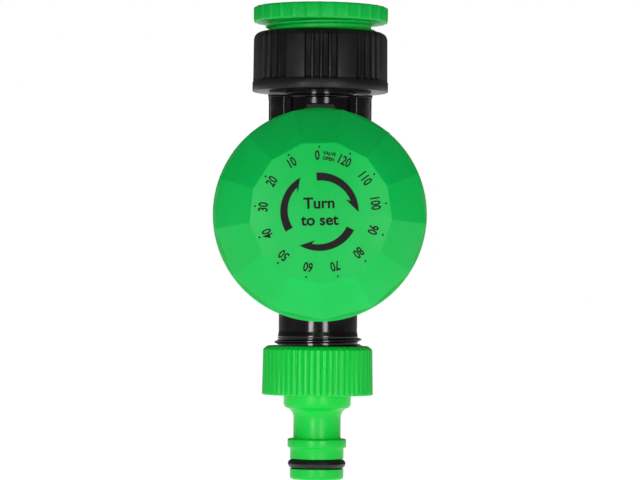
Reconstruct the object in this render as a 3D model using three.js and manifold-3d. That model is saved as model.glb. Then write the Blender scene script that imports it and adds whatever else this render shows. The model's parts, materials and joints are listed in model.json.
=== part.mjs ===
// A mechanical hose-end water timer, built as its separate pieces, in millimetres with +Z up.
// The origin is the middle of the face that seals on the tap, on the upright pipe axis.
// X is to the right, Y goes away from whoever reads the dial, so the dial faces -Y.
import * as THREE from 'three';
import { mergeVertices } from 'three/addons/utils/BufferGeometryUtils.js';
import Module from 'manifold-3d';

const wasm = await Module();
wasm.setup();

const DEG = Math.PI / 180;

// ------------------------------------------------------------------------------------------
// Driving sizes. Heights are along the pipe, and depths run from the pipe's axis to the front.
// ------------------------------------------------------------------------------------------

// Threads, by the male one: pitch, crest and root radius, and the ridge's width at each.
const tapThread = { pitch: 1.814, crest: 13.22, root: 12.06, foot: 1.15, tip: 0.3 };
const nutThread = { pitch: 2.309, crest: 16.55, root: 15.1, foot: 1.35, tip: 0.35 };
const outletThread = { pitch: 1.814, crest: 13.22, root: 12.06, foot: 1.15, tip: 0.3 };
const threadPlay = 0.42;      // radial, at the crests and at the roots
const threadSteps = 16;       // flats in one turn
const threadLead = 0.9;       // plain length at a thread's mouth

// Clearances.
const faceGap = 0.1;          // between two faces that are clamped together
const fitGap = 0.1;           // radial, between a fixed pin or plug and its hole
const turnGap = 0.15;         // radial, between a turning or sliding pin and its hole
const swivelGap = 0.65;       // radial, between the nut's floor and the neck
const washerGap = 0.28;       // radial, between a washer and the thread round it
const sweepGap = 1.2;         // radial, between the housing and the dial that turns round it

// Inlet adaptor.
const adaptorShown = 2.75;    // thread left in sight between the nut and the flange
const adaptorFlangeHeight = 4.8;
const adaptorFlangeLip = 0.1; // how far the flange stands out past the nut
const adaptorCorner = 0.5;
const adaptorScallops = 30;
const scallopDepth = 0.35;
const adaptorDepth = 8.0;     // below the sealing face
const adaptorBore = 8.0;
const adaptorThreadTurns = 3.6;
const socketThreadTurns = 2.8;

// Seals and filter.
const filterWasherThickness = 2.2;
const filterSeat = 1.3;       // how much wider the filter is than the bore under it
const nutWasherThickness = 2.2;
const outletWasherThickness = 2.0;
const meshThickness = 0.5;
const meshDome = 1.4;
const meshSlots = 6;

// Swivel nut.
const nutHeight = 18.0;
const nutWall = 2.68;
const nutBandHeight = 3.0;
const nutBandLip = 0.2;
const nutShoulder = { across: 3.0, down: 1.6 };
const nutFloor = 2.6;
const nutPanels = 8;          // panels of grip grooves round the nut
const nutGrooves = 4;         // grooves in a panel
const nutGroovePitch = 7.5;   // degrees
const nutGrooveWidth = 5.5;   // degrees
const nutGrooveDepth = 0.5;
const nutThreadTurns = 1.8;

// Valve body.
const inletBore = 7.5;
const outletBore = 8.5;
const neckWall = 2.65;
const swivelFlangeHeight = 2.6;
const wingHalfWidth = 15.35;
const wingFront = 5.0;
const wingBack = 12.0;
const wingGapUnderNut = 1.0;
const pointerUnderNut = 4.1;  // from the pointer's tip up to the nut
const valveToDial = 8.2;      // from the valve's axis up to the dial's
const blockAbove = 16.0;      // the block's reach over the valve's axis
const blockBelow = 17.0;
const blockFront = 9.0;
const blockBack = 15.0;
const blockCorner = 2.0;
const outletTubeRadius = 11.75;
const outletUnderDial = 4.5;  // from the dial's rim down to the outlet's thread
const outletThreadLength = 12.9;
const discThickness = 4.0;

// Valve, on a level axis that runs from front to back.
const seatHalfThickness = 1.5;
const seatHoleRadius = 5.5;
const frontChamberRadius = 7.0;
const rearChamberRadius = 10.0;
const stemRadius = 1.5;
const stemToCam = 0.3;
const sealDiscThickness = 1.1;
const sealLap = 2.0;          // how far the seal reaches past its seat's hole
const poppet = { thickness: 3.0, lip: 0.5, bossRadius: 3.4, bossHeight: 2.2 };
const capThickness = 3.4;
const capPlugLength = 3.1;
const capCorner = 4.0;
const capScrewEdge = 3.1;     // from a screw's axis to the cap's edge
const capScrewWall = 6.26;    // from the chamber to a screw's axis
const springWire = 0.28;      // radius
const springClearance = 0.8;  // between the wire and the poppet's boss
const springTurns = 4.5;
const capRing = { wire: 0.75, land: 0.55 };
const stemRing = 0.85;        // radius of its section

// Fasteners.
const screwRadius = 1.05;
const screwHead = { radius: 2.2, height: 1.5 };
const capScrewLength = 11.0;
const housingScrewLength = 10.0;
const movementScrewLength = 9.5;

// Clockwork housing, round the dial's axis.
const housingWall = 2.0;
const housingDepth = 22.4;
const housingFlangeThickness = 2.5;
const housingFlangeWidth = 2.7;
const bossRadius = 2.4;
const bossLength = 8.4;
const pointer = { halfTop: 4.6, halfFoot: 5.6, height: 3.7 };

// Movement.
const plateEdge = 1.3;        // between the plates and the housing
const plateThickness = 1.2;
const plateToFront = 0.6;     // between the front plate and the housing's front wall
const movementDepth = 13.8;   // over both plates
const pillarEdge = 2.5;       // from a pillar's axis to the plates' edge
const pillarAngles = [140, 220, 310];
const pillarRadius = 2.0;
const pillarTenon = 1.2;
const arborRadius = 2.0;
const arborFlat = 1.3;
const pinRadius = 0.5;        // the small arbors
const cam = { radius: 11.0, thickness: 3.0, notch: 2.5, halfAngle: 13 };
const camToPlate = 0.5;
const greatModule = 0.6;
const fineModule = 0.45;
const wheelTeeth = { great: 40, second: 36, third: 32, escape: 15 };
const pinionLeaves = 8;
const wheelTooth = { above: 0.9, below: 1.25, rootShare: 0.55, tipShare: 0.16 };
const pinionTooth = { above: 0.65, below: 1.3, rootShare: 0.36, tipShare: 0.16 };
const wheelThickness = 1.1;
const wheelGap = 0.7;         // between the wheels' levels
const escapeRadius = 4.5;
const anchorReach = 6.5;      // from the escape arbor to the anchor's
const secondEdge = 1.895;     // from the second wheel's tips to the housing
const thirdEdge = 0.82;       // from the third wheel's tips to the housing
const escapeEdge = 2.84;      // from the escape wheel's tips to the housing
const anchorEdge = 7.29;      // from the anchor's arbor to the housing
const palletClearance = 1.1;  // from the escape wheel's tips to the middle of a pallet
const barrelWall = 1.0;
const barrelClearance = 1.7;  // from the barrel to the nearest arbor
const barrelDepth = 4.9;
const mainspringTurns = 4.5;
const mainspringThickness = 0.3;
const clipThickness = 0.6;
const clipWidth = 2.5;

// Dial.
const dialSides = 13;
const dialSkirtWall = 1.8;
const dialRimLip = 0.6;
const dialRimThickness = 2.5;
const dialToFlange = 6.4;     // the gap between the dial's back and the housing's flange
const dialRoom = 1.0;         // between the housing's front and the dial's hub
const dialSlopeDepth = 9.5;
const dialFaceRadius = 20.5;
const dialFaceWall = 2.0;
const dialWall = 1.8;
const hubRadius = 4.2;
const dialRibs = 6;

// Outlet connector, from its threaded collar down to the nipple's tip.
const collarHeight = 14.7;
const collarWall = 2.5;
const collarWeb = 2.5;
const collarFlare = { lip: 0.2, height: 1.0 };
const collarRibs = 54;
const collarRibDepth = 0.42;
const collarShoulder = { across: 1.6, down: 0.9 };
const collarThreadTurns = 2.2;
const nippleBore = 4.6;
const nippleCollar = { radius: 10.1, length: 3.3 };
const nippleNeck = { radius: 7.1, filletLength: 3.5, length: 6.3 };
const nippleBarrel = 8.05;
const nippleRidge = { proud: 0.75, length: 2.7, corner: 0.45 };
const nippleRing = { wire: 1.325, proud: 0.6, below: 4.75 };
const nippleTipLength = 4.75; // from the ring's middle to the tip
const nippleTipCorner = 1.0;

// ------------------------------------------------------------------------------------------
// Sizes that follow from those
// ------------------------------------------------------------------------------------------

const innerRadius = (thread) => thread.crest + threadPlay;
const innerCrest = (thread) => thread.root + threadPlay;

// Inlet, from the sealing face at zero downwards.
const ledge = -(filterWasherThickness + faceGap);
const filterWasherOuter = innerCrest(tapThread) - washerGap;
const filterRadius = adaptorBore + filterSeat;
const flangeTop = -adaptorDepth - nutWasherThickness - 2 * faceGap;
const flangeBottom = flangeTop - swivelFlangeHeight;
const flangeRadius = nutThread.root - 3 * fitGap;
const nutFloorTop = flangeBottom - faceGap;
const nutBottom = nutFloorTop - nutFloor;
const nutTop = nutBottom + nutHeight;
const flangeUnder = nutTop + adaptorShown;
const adaptorTop = flangeUnder + adaptorFlangeHeight;
const nutRadius = innerRadius(nutThread) + nutWall + nutGrooveDepth;
const nutBandRadius = nutRadius + nutBandLip;
const adaptorFlangeRadius = nutRadius + adaptorFlangeLip;
const neckRadius = inletBore + neckWall;

// Wheels. The housing is sized round the second wheel, which reaches furthest from the dial's axis.
const pitchRadius = (teeth, toothModule) => teeth * toothModule / 2;
const tipRadius = (teeth, toothModule) => pitchRadius(teeth, toothModule) + wheelTooth.above * toothModule;
const centreDistance = (teeth, toothModule) =>
  pitchRadius(teeth, toothModule) + pitchRadius(pinionLeaves, toothModule);
const secondReach = centreDistance(wheelTeeth.great, greatModule);
const housingBore = secondReach + tipRadius(wheelTeeth.second, fineModule) + secondEdge;
const housingRadius = housingBore + housingWall;

// Clockwork housing and dial, from the pipe's axis to the front.
const discBack = blockFront;
const discFront = discBack + discThickness;
const discRadius = housingRadius + housingFlangeWidth;
const housingBack = discFront + faceGap;
const housingFlangeFront = housingBack + housingFlangeThickness;
const housingFront = housingBack + housingDepth;
const housingScrewRing = discRadius - bossRadius - faceGap;
const dialBack = housingFlangeFront + dialToFlange;
const hubBack = housingFront + dialRoom;
const dialSkirtFront = hubBack;
const dialFront = dialSkirtFront + dialSlopeDepth;
const dialCeiling = dialFront - dialFaceWall;
const dialCavity = housingRadius + sweepGap;
const dialHalfSide = Math.PI / dialSides;
const dialSkirtRadius = (dialCavity + dialSkirtWall) / Math.cos(dialHalfSide);
const dialRimRadius = dialSkirtRadius + dialRimLip;

// Valve body, downwards.
const wingTop = nutBottom - wingGapUnderNut;
const dialZ = nutBottom - pointerUnderNut - pointer.height - discRadius;
const valveZ = dialZ - valveToDial;
const blockTop = valveZ + blockAbove;
const blockBottom = valveZ - blockBelow;
const outletThreadTop = dialZ - dialRimRadius - outletUnderDial;
const spigotEnd = outletThreadTop - outletThreadLength;

// Movement.
const plateRadius = housingBore - plateEdge;
const pillarRing = plateRadius - pillarEdge;
const frontPlateDepth = housingFront - housingWall - plateToFront - plateThickness;
const backPlateDepth = frontPlateDepth + plateThickness - movementDepth;
const camDepth = backPlateDepth - camToPlate - cam.thickness;
const stemTipDepth = camDepth - stemToCam;
const levelA = backPlateDepth + plateThickness + wheelGap;
const levelB = levelA + wheelThickness + 1.5 * wheelGap;
const levelC = levelB + wheelThickness + wheelGap;
const arborBack = discFront + 10 * faceGap;
const arborFront = dialCeiling - 5 * faceGap;

// Valve, from the seat to the rear cap.
const sealDiscRadius = seatHoleRadius + sealLap;
const sealBack = seatHalfThickness + faceGap + sealDiscThickness;
const poppetRadius = sealDiscRadius + poppet.lip;
const poppetFront = sealBack + faceGap;
const poppetBack = poppetFront + poppet.thickness;
const springRadius = poppet.bossRadius + springClearance + springWire;
const capBack = blockBack + faceGap + capThickness;
const capPlugFront = blockBack + faceGap - capPlugLength;
const capScrewOffset = (rearChamberRadius + capScrewWall) / Math.SQRT2;
const capHalfWidth = capScrewOffset + capScrewEdge;

// Outlet connector, downwards from the spigot's end.
const outletWasherTop = spigotEnd - faceGap;
const outletWasherBottom = outletWasherTop - outletWasherThickness;
const webTop = outletWasherBottom - faceGap;
const collarBottom = webTop - collarWeb;
const collarTop = collarBottom + collarHeight;
const collarRadius = innerRadius(outletThread) + collarWall + collarRibDepth;
const nippleCollarEnd = collarBottom - nippleCollar.length;
const nippleNeckStart = nippleCollarEnd - nippleNeck.filletLength;
const nippleRidgeRadius = nippleBarrel + nippleRidge.proud;
const nippleRidgeStart = nippleNeckStart - nippleNeck.length;
const nippleRidgeEnd = nippleRidgeStart - nippleRidge.length;
const nippleRingCentre = nippleRidgeEnd - nippleRing.below;
const nippleRingOuter = nippleBarrel + nippleRing.proud;
const nippleTip = nippleRingCentre - nippleTipLength;

// ------------------------------------------------------------------------------------------
// Making and joining solids
// ------------------------------------------------------------------------------------------

// A closed mesh with merged corners, no folded triangles, and its faces pointing out.
function closed(geometry) {
  const bare = geometry.clone();
  bare.deleteAttribute('normal');
  bare.deleteAttribute('uv');
  const merged = mergeVertices(bare, 1e-4);
  const p = merged.attributes.position;
  const corners = [];
  let volume = 0;
  const [a, b, c] = [new THREE.Vector3(), new THREE.Vector3(), new THREE.Vector3()];
  for (let i = 0; i < merged.index.count; i += 3) {
    const [u, v, w] = [0, 1, 2].map((k) => merged.index.getX(i + k));
    if (u === v || v === w || w === u) continue;
    corners.push(u, v, w);
    volume += a.fromBufferAttribute(p, u).dot(b.fromBufferAttribute(p, v).cross(c.fromBufferAttribute(p, w)));
  }
  merged.setIndex(volume < 0 ? corners.reverse() : corners);
  return merged;
}

function toSolid(geometry) {
  const mesh = closed(geometry);
  return new wasm.Manifold(new wasm.Mesh({
    numProp: 3,
    vertProperties: new Float32Array(mesh.attributes.position.array),
    triVerts: new Uint32Array(mesh.index.array),
  }));
}

function toGeometry(solid) {
  const mesh = solid.getMesh();
  const geometry = new THREE.BufferGeometry();
  geometry.setAttribute('position', new THREE.BufferAttribute(mesh.vertProperties, 3));
  geometry.setIndex(new THREE.BufferAttribute(mesh.triVerts, 1));
  geometry.computeVertexNormals();
  return geometry;
}

const join = (...pieces) => toGeometry(pieces.map(toSolid).reduce((whole, next) => whole.add(next)));
const cut = (piece, ...tools) =>
  toGeometry(tools.map(toSolid).reduce((whole, tool) => whole.subtract(tool), toSolid(piece)));
const common = (piece, envelope) => toGeometry(toSolid(piece).intersect(toSolid(envelope)));

// A piece turned about Z. The profile is [radius, z] pairs, from axis to axis or round a ring.
function turned(profile, sides = 26, start = 0) {
  const points = profile.map(([r, z]) => new THREE.Vector2(r, z));
  const lathe = new THREE.LatheGeometry(points, sides, start, 2 * Math.PI);
  return lathe.rotateX(Math.PI / 2);
}

const rod = (radius, from, to, sides = 26, start = 0) =>
  turned([[0, from], [radius, from], [radius, to], [0, to]], sides, start);

const ring = (inner, outer, from, to, sides = 26) =>
  turned([[inner, from], [outer, from], [outer, to], [inner, to], [inner, from]], sides);

// Points of a round corner in a turned profile.
function arc(centreRadius, centreZ, radius, fromDegrees, toDegrees, steps) {
  return Array.from({ length: steps + 1 }, (_, i) => {
    const angle = (fromDegrees + (toDegrees - fromDegrees) * i / steps) * DEG;
    return [centreRadius + radius * Math.cos(angle), centreZ + radius * Math.sin(angle)];
  });
}

// A rubber ring with a round section.
const roundRing = (wire, outer, z, sides = 24) =>
  turned(arc(outer - wire, z, wire, 0, 360, 8).slice(0, -1).concat([[outer, z]]), sides);

function prism(shape, from, to, curveSegments = 6) {
  const options = { depth: to - from, bevelEnabled: false, curveSegments };
  return new THREE.ExtrudeGeometry(shape, options).translate(0, 0, from);
}

const box = (x0, x1, y0, y1, z0, z1) =>
  new THREE.BoxGeometry(x1 - x0, y1 - y0, z1 - z0)
    .translate((x0 + x1) / 2, (y0 + y1) / 2, (z0 + z1) / 2);

function roundedRectangle(x0, x1, y0, y1, r) {
  const shape = new THREE.Shape();
  shape.absarc(x1 - r, y1 - r, r, 0, Math.PI / 2);
  shape.absarc(x0 + r, y1 - r, r, Math.PI / 2, Math.PI);
  shape.absarc(x0 + r, y0 + r, r, Math.PI, 1.5 * Math.PI);
  shape.absarc(x1 - r, y0 + r, r, 1.5 * Math.PI, 2 * Math.PI);
  return shape;
}

const polar = (radius, degrees) =>
  new THREE.Vector2(radius * Math.cos(degrees * DEG), radius * Math.sin(degrees * DEG));

// Turns something made along Z so that its Z points to the front, at a given height.
const facing = (geometry, z) => geometry.rotateX(Math.PI / 2).translate(0, 0, z);

// One ridge of a right-hand screw thread. A straight bar with the ridge's section is wound
// round Z, and each end sinks into the wall. outward is 1 on a male thread, -1 on a female one.
function threadRidge(thread, wallRadius, height, outward, bottom, top, phaseTurns) {
  const firstStep = Math.ceil((bottom / thread.pitch + phaseTurns) * threadSteps);
  const lastStep = Math.floor((top / thread.pitch + phaseTurns) * threadSteps);
  const steps = lastStep - firstStep;
  const buried = 0.4;
  const slope = (thread.foot - thread.tip) / 2 / height;
  const section = new THREE.Shape([
    new THREE.Vector2(-buried, -thread.foot / 2 - buried * slope),
    new THREE.Vector2(height, -thread.tip / 2),
    new THREE.Vector2(height, thread.tip / 2),
    new THREE.Vector2(-buried, thread.foot / 2 + buried * slope),
  ]);
  const bar = new THREE.ExtrudeGeometry(section, { depth: steps, steps, bevelEnabled: false });
  const p = bar.attributes.position;
  const runOut = 4;
  for (let i = 0; i < p.count; i++) {
    const step = Math.round(p.getZ(i));
    const shown = Math.min(1, step / runOut, (steps - step) / runOut);
    const rise = p.getX(i) > 0 ? p.getX(i) * shown - 0.15 * (1 - shown) : p.getX(i);
    const radius = wallRadius + outward * rise;
    const turns = (firstStep + step) / threadSteps;
    const angle = 2 * Math.PI * turns;
    const z = (turns - phaseTurns) * thread.pitch - outward * p.getY(i);
    p.setXYZ(i, radius * Math.cos(angle), radius * Math.sin(angle), z);
  }
  return bar;
}

const maleThread = (thread, bottom, top) =>
  threadRidge(thread, thread.root, thread.crest - thread.root, 1, bottom, top, 0);
const femaleThread = (thread, bottom, top) =>
  threadRidge(thread, innerRadius(thread), innerRadius(thread) - innerCrest(thread), -1, bottom, top, 0.5);

// A threaded wall has its flats where the ridge has its own.
const threadWall = (radius, from, to) => rod(radius, from, to, threadSteps, 0);

// ------------------------------------------------------------------------------------------
// Inlet: adaptor, filter and swivel nut
// ------------------------------------------------------------------------------------------

// A round outline with grooves at the given angles. A groove has sloping sides, and a floor
// unless its sides meet.
function groovedOutline(radius, grooves, widthDegrees, depth, slopeDegrees, plainStep) {
  const points = [];
  grooves.forEach((centre, i) => {
    const half = widthDegrees / 2;
    const floor = half - slopeDegrees;
    points.push(polar(radius, centre - half), polar(radius - depth, centre - floor));
    if (floor > 0) points.push(polar(radius - depth, centre + floor));
    points.push(polar(radius, centre + half));
    const next = i + 1 < grooves.length ? grooves[i + 1] : grooves[0] + 360;
    const plain = next - centre - widthDegrees;
    const steps = Math.floor(plain / plainStep);
    for (let k = 1; k < steps; k++) points.push(polar(radius, centre + half + plain * k / steps));
  });
  return new THREE.Shape(points);
}

function inletAdaptor() {
  const step = 360 / adaptorScallops;
  const scallops = Array.from({ length: adaptorScallops }, (_, i) => i * step);
  const outline = groovedOutline(adaptorFlangeRadius, scallops, step * 0.9, scallopDepth, step * 0.45, 90);
  const flange = new THREE.ExtrudeGeometry(outline, {
    depth: adaptorFlangeHeight - 2 * adaptorCorner,
    bevelThickness: adaptorCorner,
    bevelSize: adaptorCorner,
    bevelOffset: -adaptorCorner,
    bevelSegments: 1,
  }).translate(0, 0, flangeUnder + adaptorCorner);
  const tube = threadWall(nutThread.root, -adaptorDepth, flangeUnder + 1);
  const threadTop = flangeUnder - 0.5;
  const ridge = maleThread(nutThread, threadTop - adaptorThreadTurns * nutThread.pitch, threadTop);
  const socket = threadWall(innerRadius(tapThread), ledge, adaptorTop + 1);
  const bore = rod(adaptorBore, -adaptorDepth - 1, ledge + 1);
  const body = cut(join(flange, tube, ridge), socket, bore);
  const mouth = adaptorTop - threadLead;
  return join(body, femaleThread(tapThread, mouth - socketThreadTurns * tapThread.pitch, mouth));
}

const filterWasherPiece = () =>
  ring(filterRadius, filterWasherOuter, -filterWasherThickness, 0);

// A domed screen whose rim rests on the adaptor's ledge, inside the washer.
function filterMesh() {
  const rim = filterRadius - fitGap;
  const low = ledge + faceGap;
  const foot = rim - 1.0;
  const ball = (foot * foot + meshDome * meshDome) / (2 * meshDome);
  const half = Math.asin(foot / ball) / DEG;
  const outer = arc(0, low + meshThickness + meshDome - ball, ball, 90 - half, 90, 4);
  const inner = arc(0, low + meshDome - ball, ball, 90, 90 - half, 4);
  const dome = turned([[rim, low], [rim, low + meshThickness], ...outer, ...inner, [rim, low]], 16);
  const slots = Array.from({ length: meshSlots }, (_, i) =>
    box(foot * 0.3, foot * 0.86, -0.45, 0.45, low - 1, low + 2 * meshDome)
      .rotateZ(2 * Math.PI * i / meshSlots));
  return cut(dome, ...slots);
}

const nutSealWasher = () =>
  ring(adaptorBore + 0.6, flangeRadius - 4 * fitGap, flangeTop + faceGap, -adaptorDepth - faceGap);

function swivelNut() {
  const grooves = [];
  for (let panel = 0; panel < nutPanels; panel++) {
    for (let i = 0; i < nutGrooves; i++) {
      const offset = (i - (nutGrooves - 1) / 2) * nutGroovePitch;
      grooves.push(-90 + panel * 360 / nutPanels + offset);
    }
  }
  const outline = groovedOutline(nutRadius, grooves, nutGrooveWidth, nutGrooveDepth, 0.9, 8);
  const bandTop = nutBottom + nutBandHeight;
  const gripTop = nutTop - nutShoulder.down;
  const grip = prism(outline, bandTop - 1, gripTop);
  const shoulder = turned([[0, gripTop - 1], [nutRadius - nutGrooveDepth, gripTop - 1],
    [nutRadius - nutGrooveDepth, gripTop], [nutRadius - nutShoulder.across, nutTop], [0, nutTop]], 36);
  const band = rod(nutBandRadius, nutBottom, bandTop, 36);
  const bore = threadWall(innerRadius(nutThread), nutFloorTop, nutTop + 1);
  const hole = rod(neckRadius + swivelGap, nutBottom - 1, nutFloorTop + 1);
  const threadTop = nutTop - threadLead;
  const ridge = femaleThread(nutThread, threadTop - nutThreadTurns * nutThread.pitch, threadTop);
  return join(cut(join(grip, shoulder, band), bore, hole), ridge);
}

// ------------------------------------------------------------------------------------------
// Valve body and what is fixed to it
// ------------------------------------------------------------------------------------------

const capScrewPlaces = [[1, 1], [-1, 1], [-1, -1], [1, -1]]
  .map(([x, y]) => [x * capScrewOffset, y * capScrewOffset]);

const housingScrewPlaces = [45, 135, 225, 315]
  .map((degrees) => polar(housingScrewRing, degrees).toArray());

const pillarPlaces = pillarAngles.map((degrees) => polar(pillarRing, degrees).toArray());

// Round holes along Z at a list of places.
const holes = (places, radius, from, to) =>
  places.map(([x, y]) => rod(radius, from, to, 10).translate(x, y, 0));

function valveBody() {
  const spigot = turned([
    [0, flangeBottom], [flangeRadius, flangeBottom], [flangeRadius, flangeTop], [0, flangeTop],
  ]);
  const neck = rod(neckRadius, blockTop - 2, flangeTop - 1);
  const wingShape = roundedRectangle(-wingHalfWidth, wingHalfWidth, -wingFront, wingBack, 1.5);
  const wings = prism(wingShape, blockTop - 2, wingTop, 3);
  const blockShape = roundedRectangle(-wingHalfWidth, wingHalfWidth, -blockFront, blockBack, blockCorner);
  const block = prism(blockShape, blockBottom, blockTop, 3);
  const disc = facing(rod(discRadius, discBack, discFront, 40), dialZ);
  const tube = rod(outletTubeRadius, outletThreadTop - 1, blockBottom + 4);
  const core = threadWall(outletThread.root, spigotEnd, outletThreadTop);
  const ridge = maleThread(outletThread, spigotEnd + 0.7, outletThreadTop - 0.4);
  const outside = join(spigot, neck, wings, block, disc, tube, core, ridge);

  const inSlotTop = blockTop + 5;
  const rearChamber = facing(rod(rearChamberRadius, -blockBack - 1, -seatHalfThickness), valveZ);
  const seatHole = facing(rod(seatHoleRadius, -seatHalfThickness - 1, seatHalfThickness + 1, 24), valveZ);
  const frontChamber = facing(rod(frontChamberRadius, seatHalfThickness, discFront + 1), valveZ);
  const inletBorePart = rod(inletBore, inSlotTop, flangeTop + 1);
  const inletSlot = box(-5.5, 5.5, seatHalfThickness + 1, inletBore - 0.2, valveZ + 3, inSlotTop + 2);
  const outletBorePart = rod(outletBore, spigotEnd - 1, blockBottom);
  const outletSlot = box(-5, 5, -outletBore + 1, -seatHalfThickness - 0.5, blockBottom - 2, valveZ - 2);
  const screwHole = screwRadius + fitGap;
  const capHoles = holes(capScrewPlaces, screwHole, -blockBack - 1, capScrewLength - capBack + 1)
    .map((hole) => facing(hole, valveZ));
  const housingHoles = holes(housingScrewPlaces, screwHole, discBack - 1, discFront + 1)
    .map((hole) => facing(hole, dialZ));
  return cut(outside, rearChamber, seatHole, frontChamber, inletBorePart, inletSlot,
    outletBorePart, outletSlot, ...capHoles, ...housingHoles);
}

// Made along Z with the front at high Z, like everything on the valve's and the dial's axes.
function rearCap() {
  const shape = roundedRectangle(-capHalfWidth, capHalfWidth, -capHalfWidth, capHalfWidth, 4);
  const plate = prism(shape, -capBack, -capBack + capThickness, 5);
  const plug = rearChamberRadius - fitGap - 0.1;
  const grooveRadius = rearChamberRadius - 2 * capRing.wire - 2 * fitGap;
  const plugTop = -capPlugFront;
  const grooveFront = plugTop - capRing.land;
  const grooveBack = grooveFront - 2 * capRing.wire - fitGap * 2;
  const stopper = turned([
    [0, -capBack + 1], [plug, -capBack + 1], [plug, grooveBack], [grooveRadius, grooveBack],
    [grooveRadius, grooveFront], [plug, grooveFront], [plug, plugTop], [0, plugTop],
  ]);
  const pilot = rod(springRadius - springWire - 5 * fitGap, plugTop - 1, plugTop + 0.9, 18);
  return cut(join(plate, stopper, pilot),
    ...holes(capScrewPlaces, screwRadius + fitGap, -capBack - 1, -blockBack + 1));
}

const capRingPiece = () =>
  roundRing(capRing.wire, rearChamberRadius - fitGap, -capPlugFront - capRing.land - capRing.wire - fitGap);

// A cross-head screw along Z. Its shank points up, and its head hangs below z = 0.
function screw(length) {
  const { radius, height } = screwHead;
  const dome = arc(radius - height * 0.6, -height * 0.4, height * 0.6, 0, -90, 1);
  const body = turned([[0, length], [screwRadius, length], [screwRadius, 0], [radius, 0],
    ...dome, [0, -height]], 10);
  const bar = box(-radius * 0.55, radius * 0.55, -0.22, 0.22, -height - 1, -height * 0.4);
  return cut(body, bar.clone(), bar.clone().rotateZ(Math.PI / 2));
}

// ------------------------------------------------------------------------------------------
// Valve: poppet, seal, spring, stem and gland
// ------------------------------------------------------------------------------------------

function valvePoppet() {
  const back = -poppetBack - poppet.bossHeight;
  const body = turned([
    [0, -poppetFront], [poppetRadius, -poppetFront], [poppetRadius, -poppetBack],
    [poppet.bossRadius, -poppetBack], [poppet.bossRadius, back], [0, back],
  ]);
  return cut(body, rod(stemRadius + fitGap, -poppetBack - 0.6, -poppetFront + 1, 18));
}

const valveSealDisc = () =>
  ring(stemRadius + fitGap, sealDiscRadius, -sealBack, -sealBack + sealDiscThickness);

function valveStem() {
  const back = -poppetBack - 0.5;
  const tip = 0.5;
  return turned([[0, back], [stemRadius, back], [stemRadius, stemTipDepth - tip],
    [stemRadius - tip, stemTipDepth], [0, stemTipDepth]], 18);
}

// A helix with its axis along Z.
class Helix extends THREE.Curve {
  constructor(radius, from, to, turns) {
    super();
    Object.assign(this, { radius, from, to, turns });
  }

  getPoint(t, target = new THREE.Vector3()) {
    const angle = 2 * Math.PI * this.turns * t;
    const z = this.from + (this.to - this.from) * t;
    return target.set(this.radius * Math.cos(angle), this.radius * Math.sin(angle), z);
  }
}

function valveSpring() {
  const from = -capPlugFront + faceGap + springWire;
  const to = -poppetBack - faceGap - springWire;
  const wire = new THREE.Shape().absarc(0, 0, springWire, 0, 2 * Math.PI);
  const path = new Helix(springRadius, from, to, springTurns);
  return new THREE.ExtrudeGeometry(wire, { extrudePath: path, steps: springTurns * 12, curveSegments: 2 });
}

const stemSealDepth = discBack - 8 * faceGap;
const stemRingOuter = stemRadius + turnGap + 2 * stemRing;

// The plug that closes the front chamber, with a pocket for the stem's ring on its wet side.
function stemGland() {
  const front = discFront - faceGap;
  const pocketRadius = stemRingOuter + fitGap;
  const pocketFront = stemSealDepth + 2 * stemRing + 2 * fitGap;
  const outer = frontChamberRadius - fitGap;
  return turned([
    [pocketRadius, stemSealDepth], [outer, stemSealDepth], [outer, front],
    [stemRadius + turnGap, front], [stemRadius + turnGap, pocketFront],
    [pocketRadius, pocketFront], [pocketRadius, stemSealDepth],
  ]);
}

const stemRingPiece = () =>
  roundRing(stemRing, stemRingOuter, stemSealDepth + stemRing + fitGap, 20);

// ------------------------------------------------------------------------------------------
// Clockwork housing and movement, along the dial's axis
// ------------------------------------------------------------------------------------------

function timerHousing() {
  const flange = rod(discRadius, housingBack, housingFlangeFront, 40);
  const can = turned([
    [0, housingBack], [housingRadius, housingBack], [housingRadius, housingFront - 1],
    [housingRadius - 1, housingFront], [0, housingFront],
  ], 40);
  const bosses = holes(housingScrewPlaces, bossRadius, housingBack, housingBack + bossLength);
  const tab = new THREE.Shape([
    new THREE.Vector2(-pointer.halfFoot, housingRadius - 2),
    new THREE.Vector2(pointer.halfFoot, housingRadius - 2),
    new THREE.Vector2(pointer.halfTop, discRadius + pointer.height),
    new THREE.Vector2(-pointer.halfTop, discRadius + pointer.height),
  ]);
  const outside = join(flange, can, ...bosses, prism(tab, housingBack, housingFlangeFront));
  const screwDepth = discBack + housingScrewLength + 0.5;
  return cut(outside,
    rod(housingBore, housingBack - 1, housingFront - housingWall, 40),
    rod(arborRadius + turnGap, housingFront - housingWall - 1, housingFront + 1, 16),
    ...holes(housingScrewPlaces, screwRadius + fitGap, housingBack - 1, screwDepth),
    ...holes(pillarPlaces, screwRadius + fitGap, housingFront - housingWall - 1, housingFront + 1));
}

// Where the arbors stand. Each is its gears' distance from the one before, clockwise of it,
// on a ring round the dial's axis that keeps its wheel inside the housing.

function nextPlace(before, distance, ringRadius) {
  const start = before.length();
  const turn = (start * start + ringRadius * ringRadius - distance * distance) / (2 * start * ringRadius);
  return polar(ringRadius, (before.angle() - Math.acos(turn)) / DEG);
}

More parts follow.
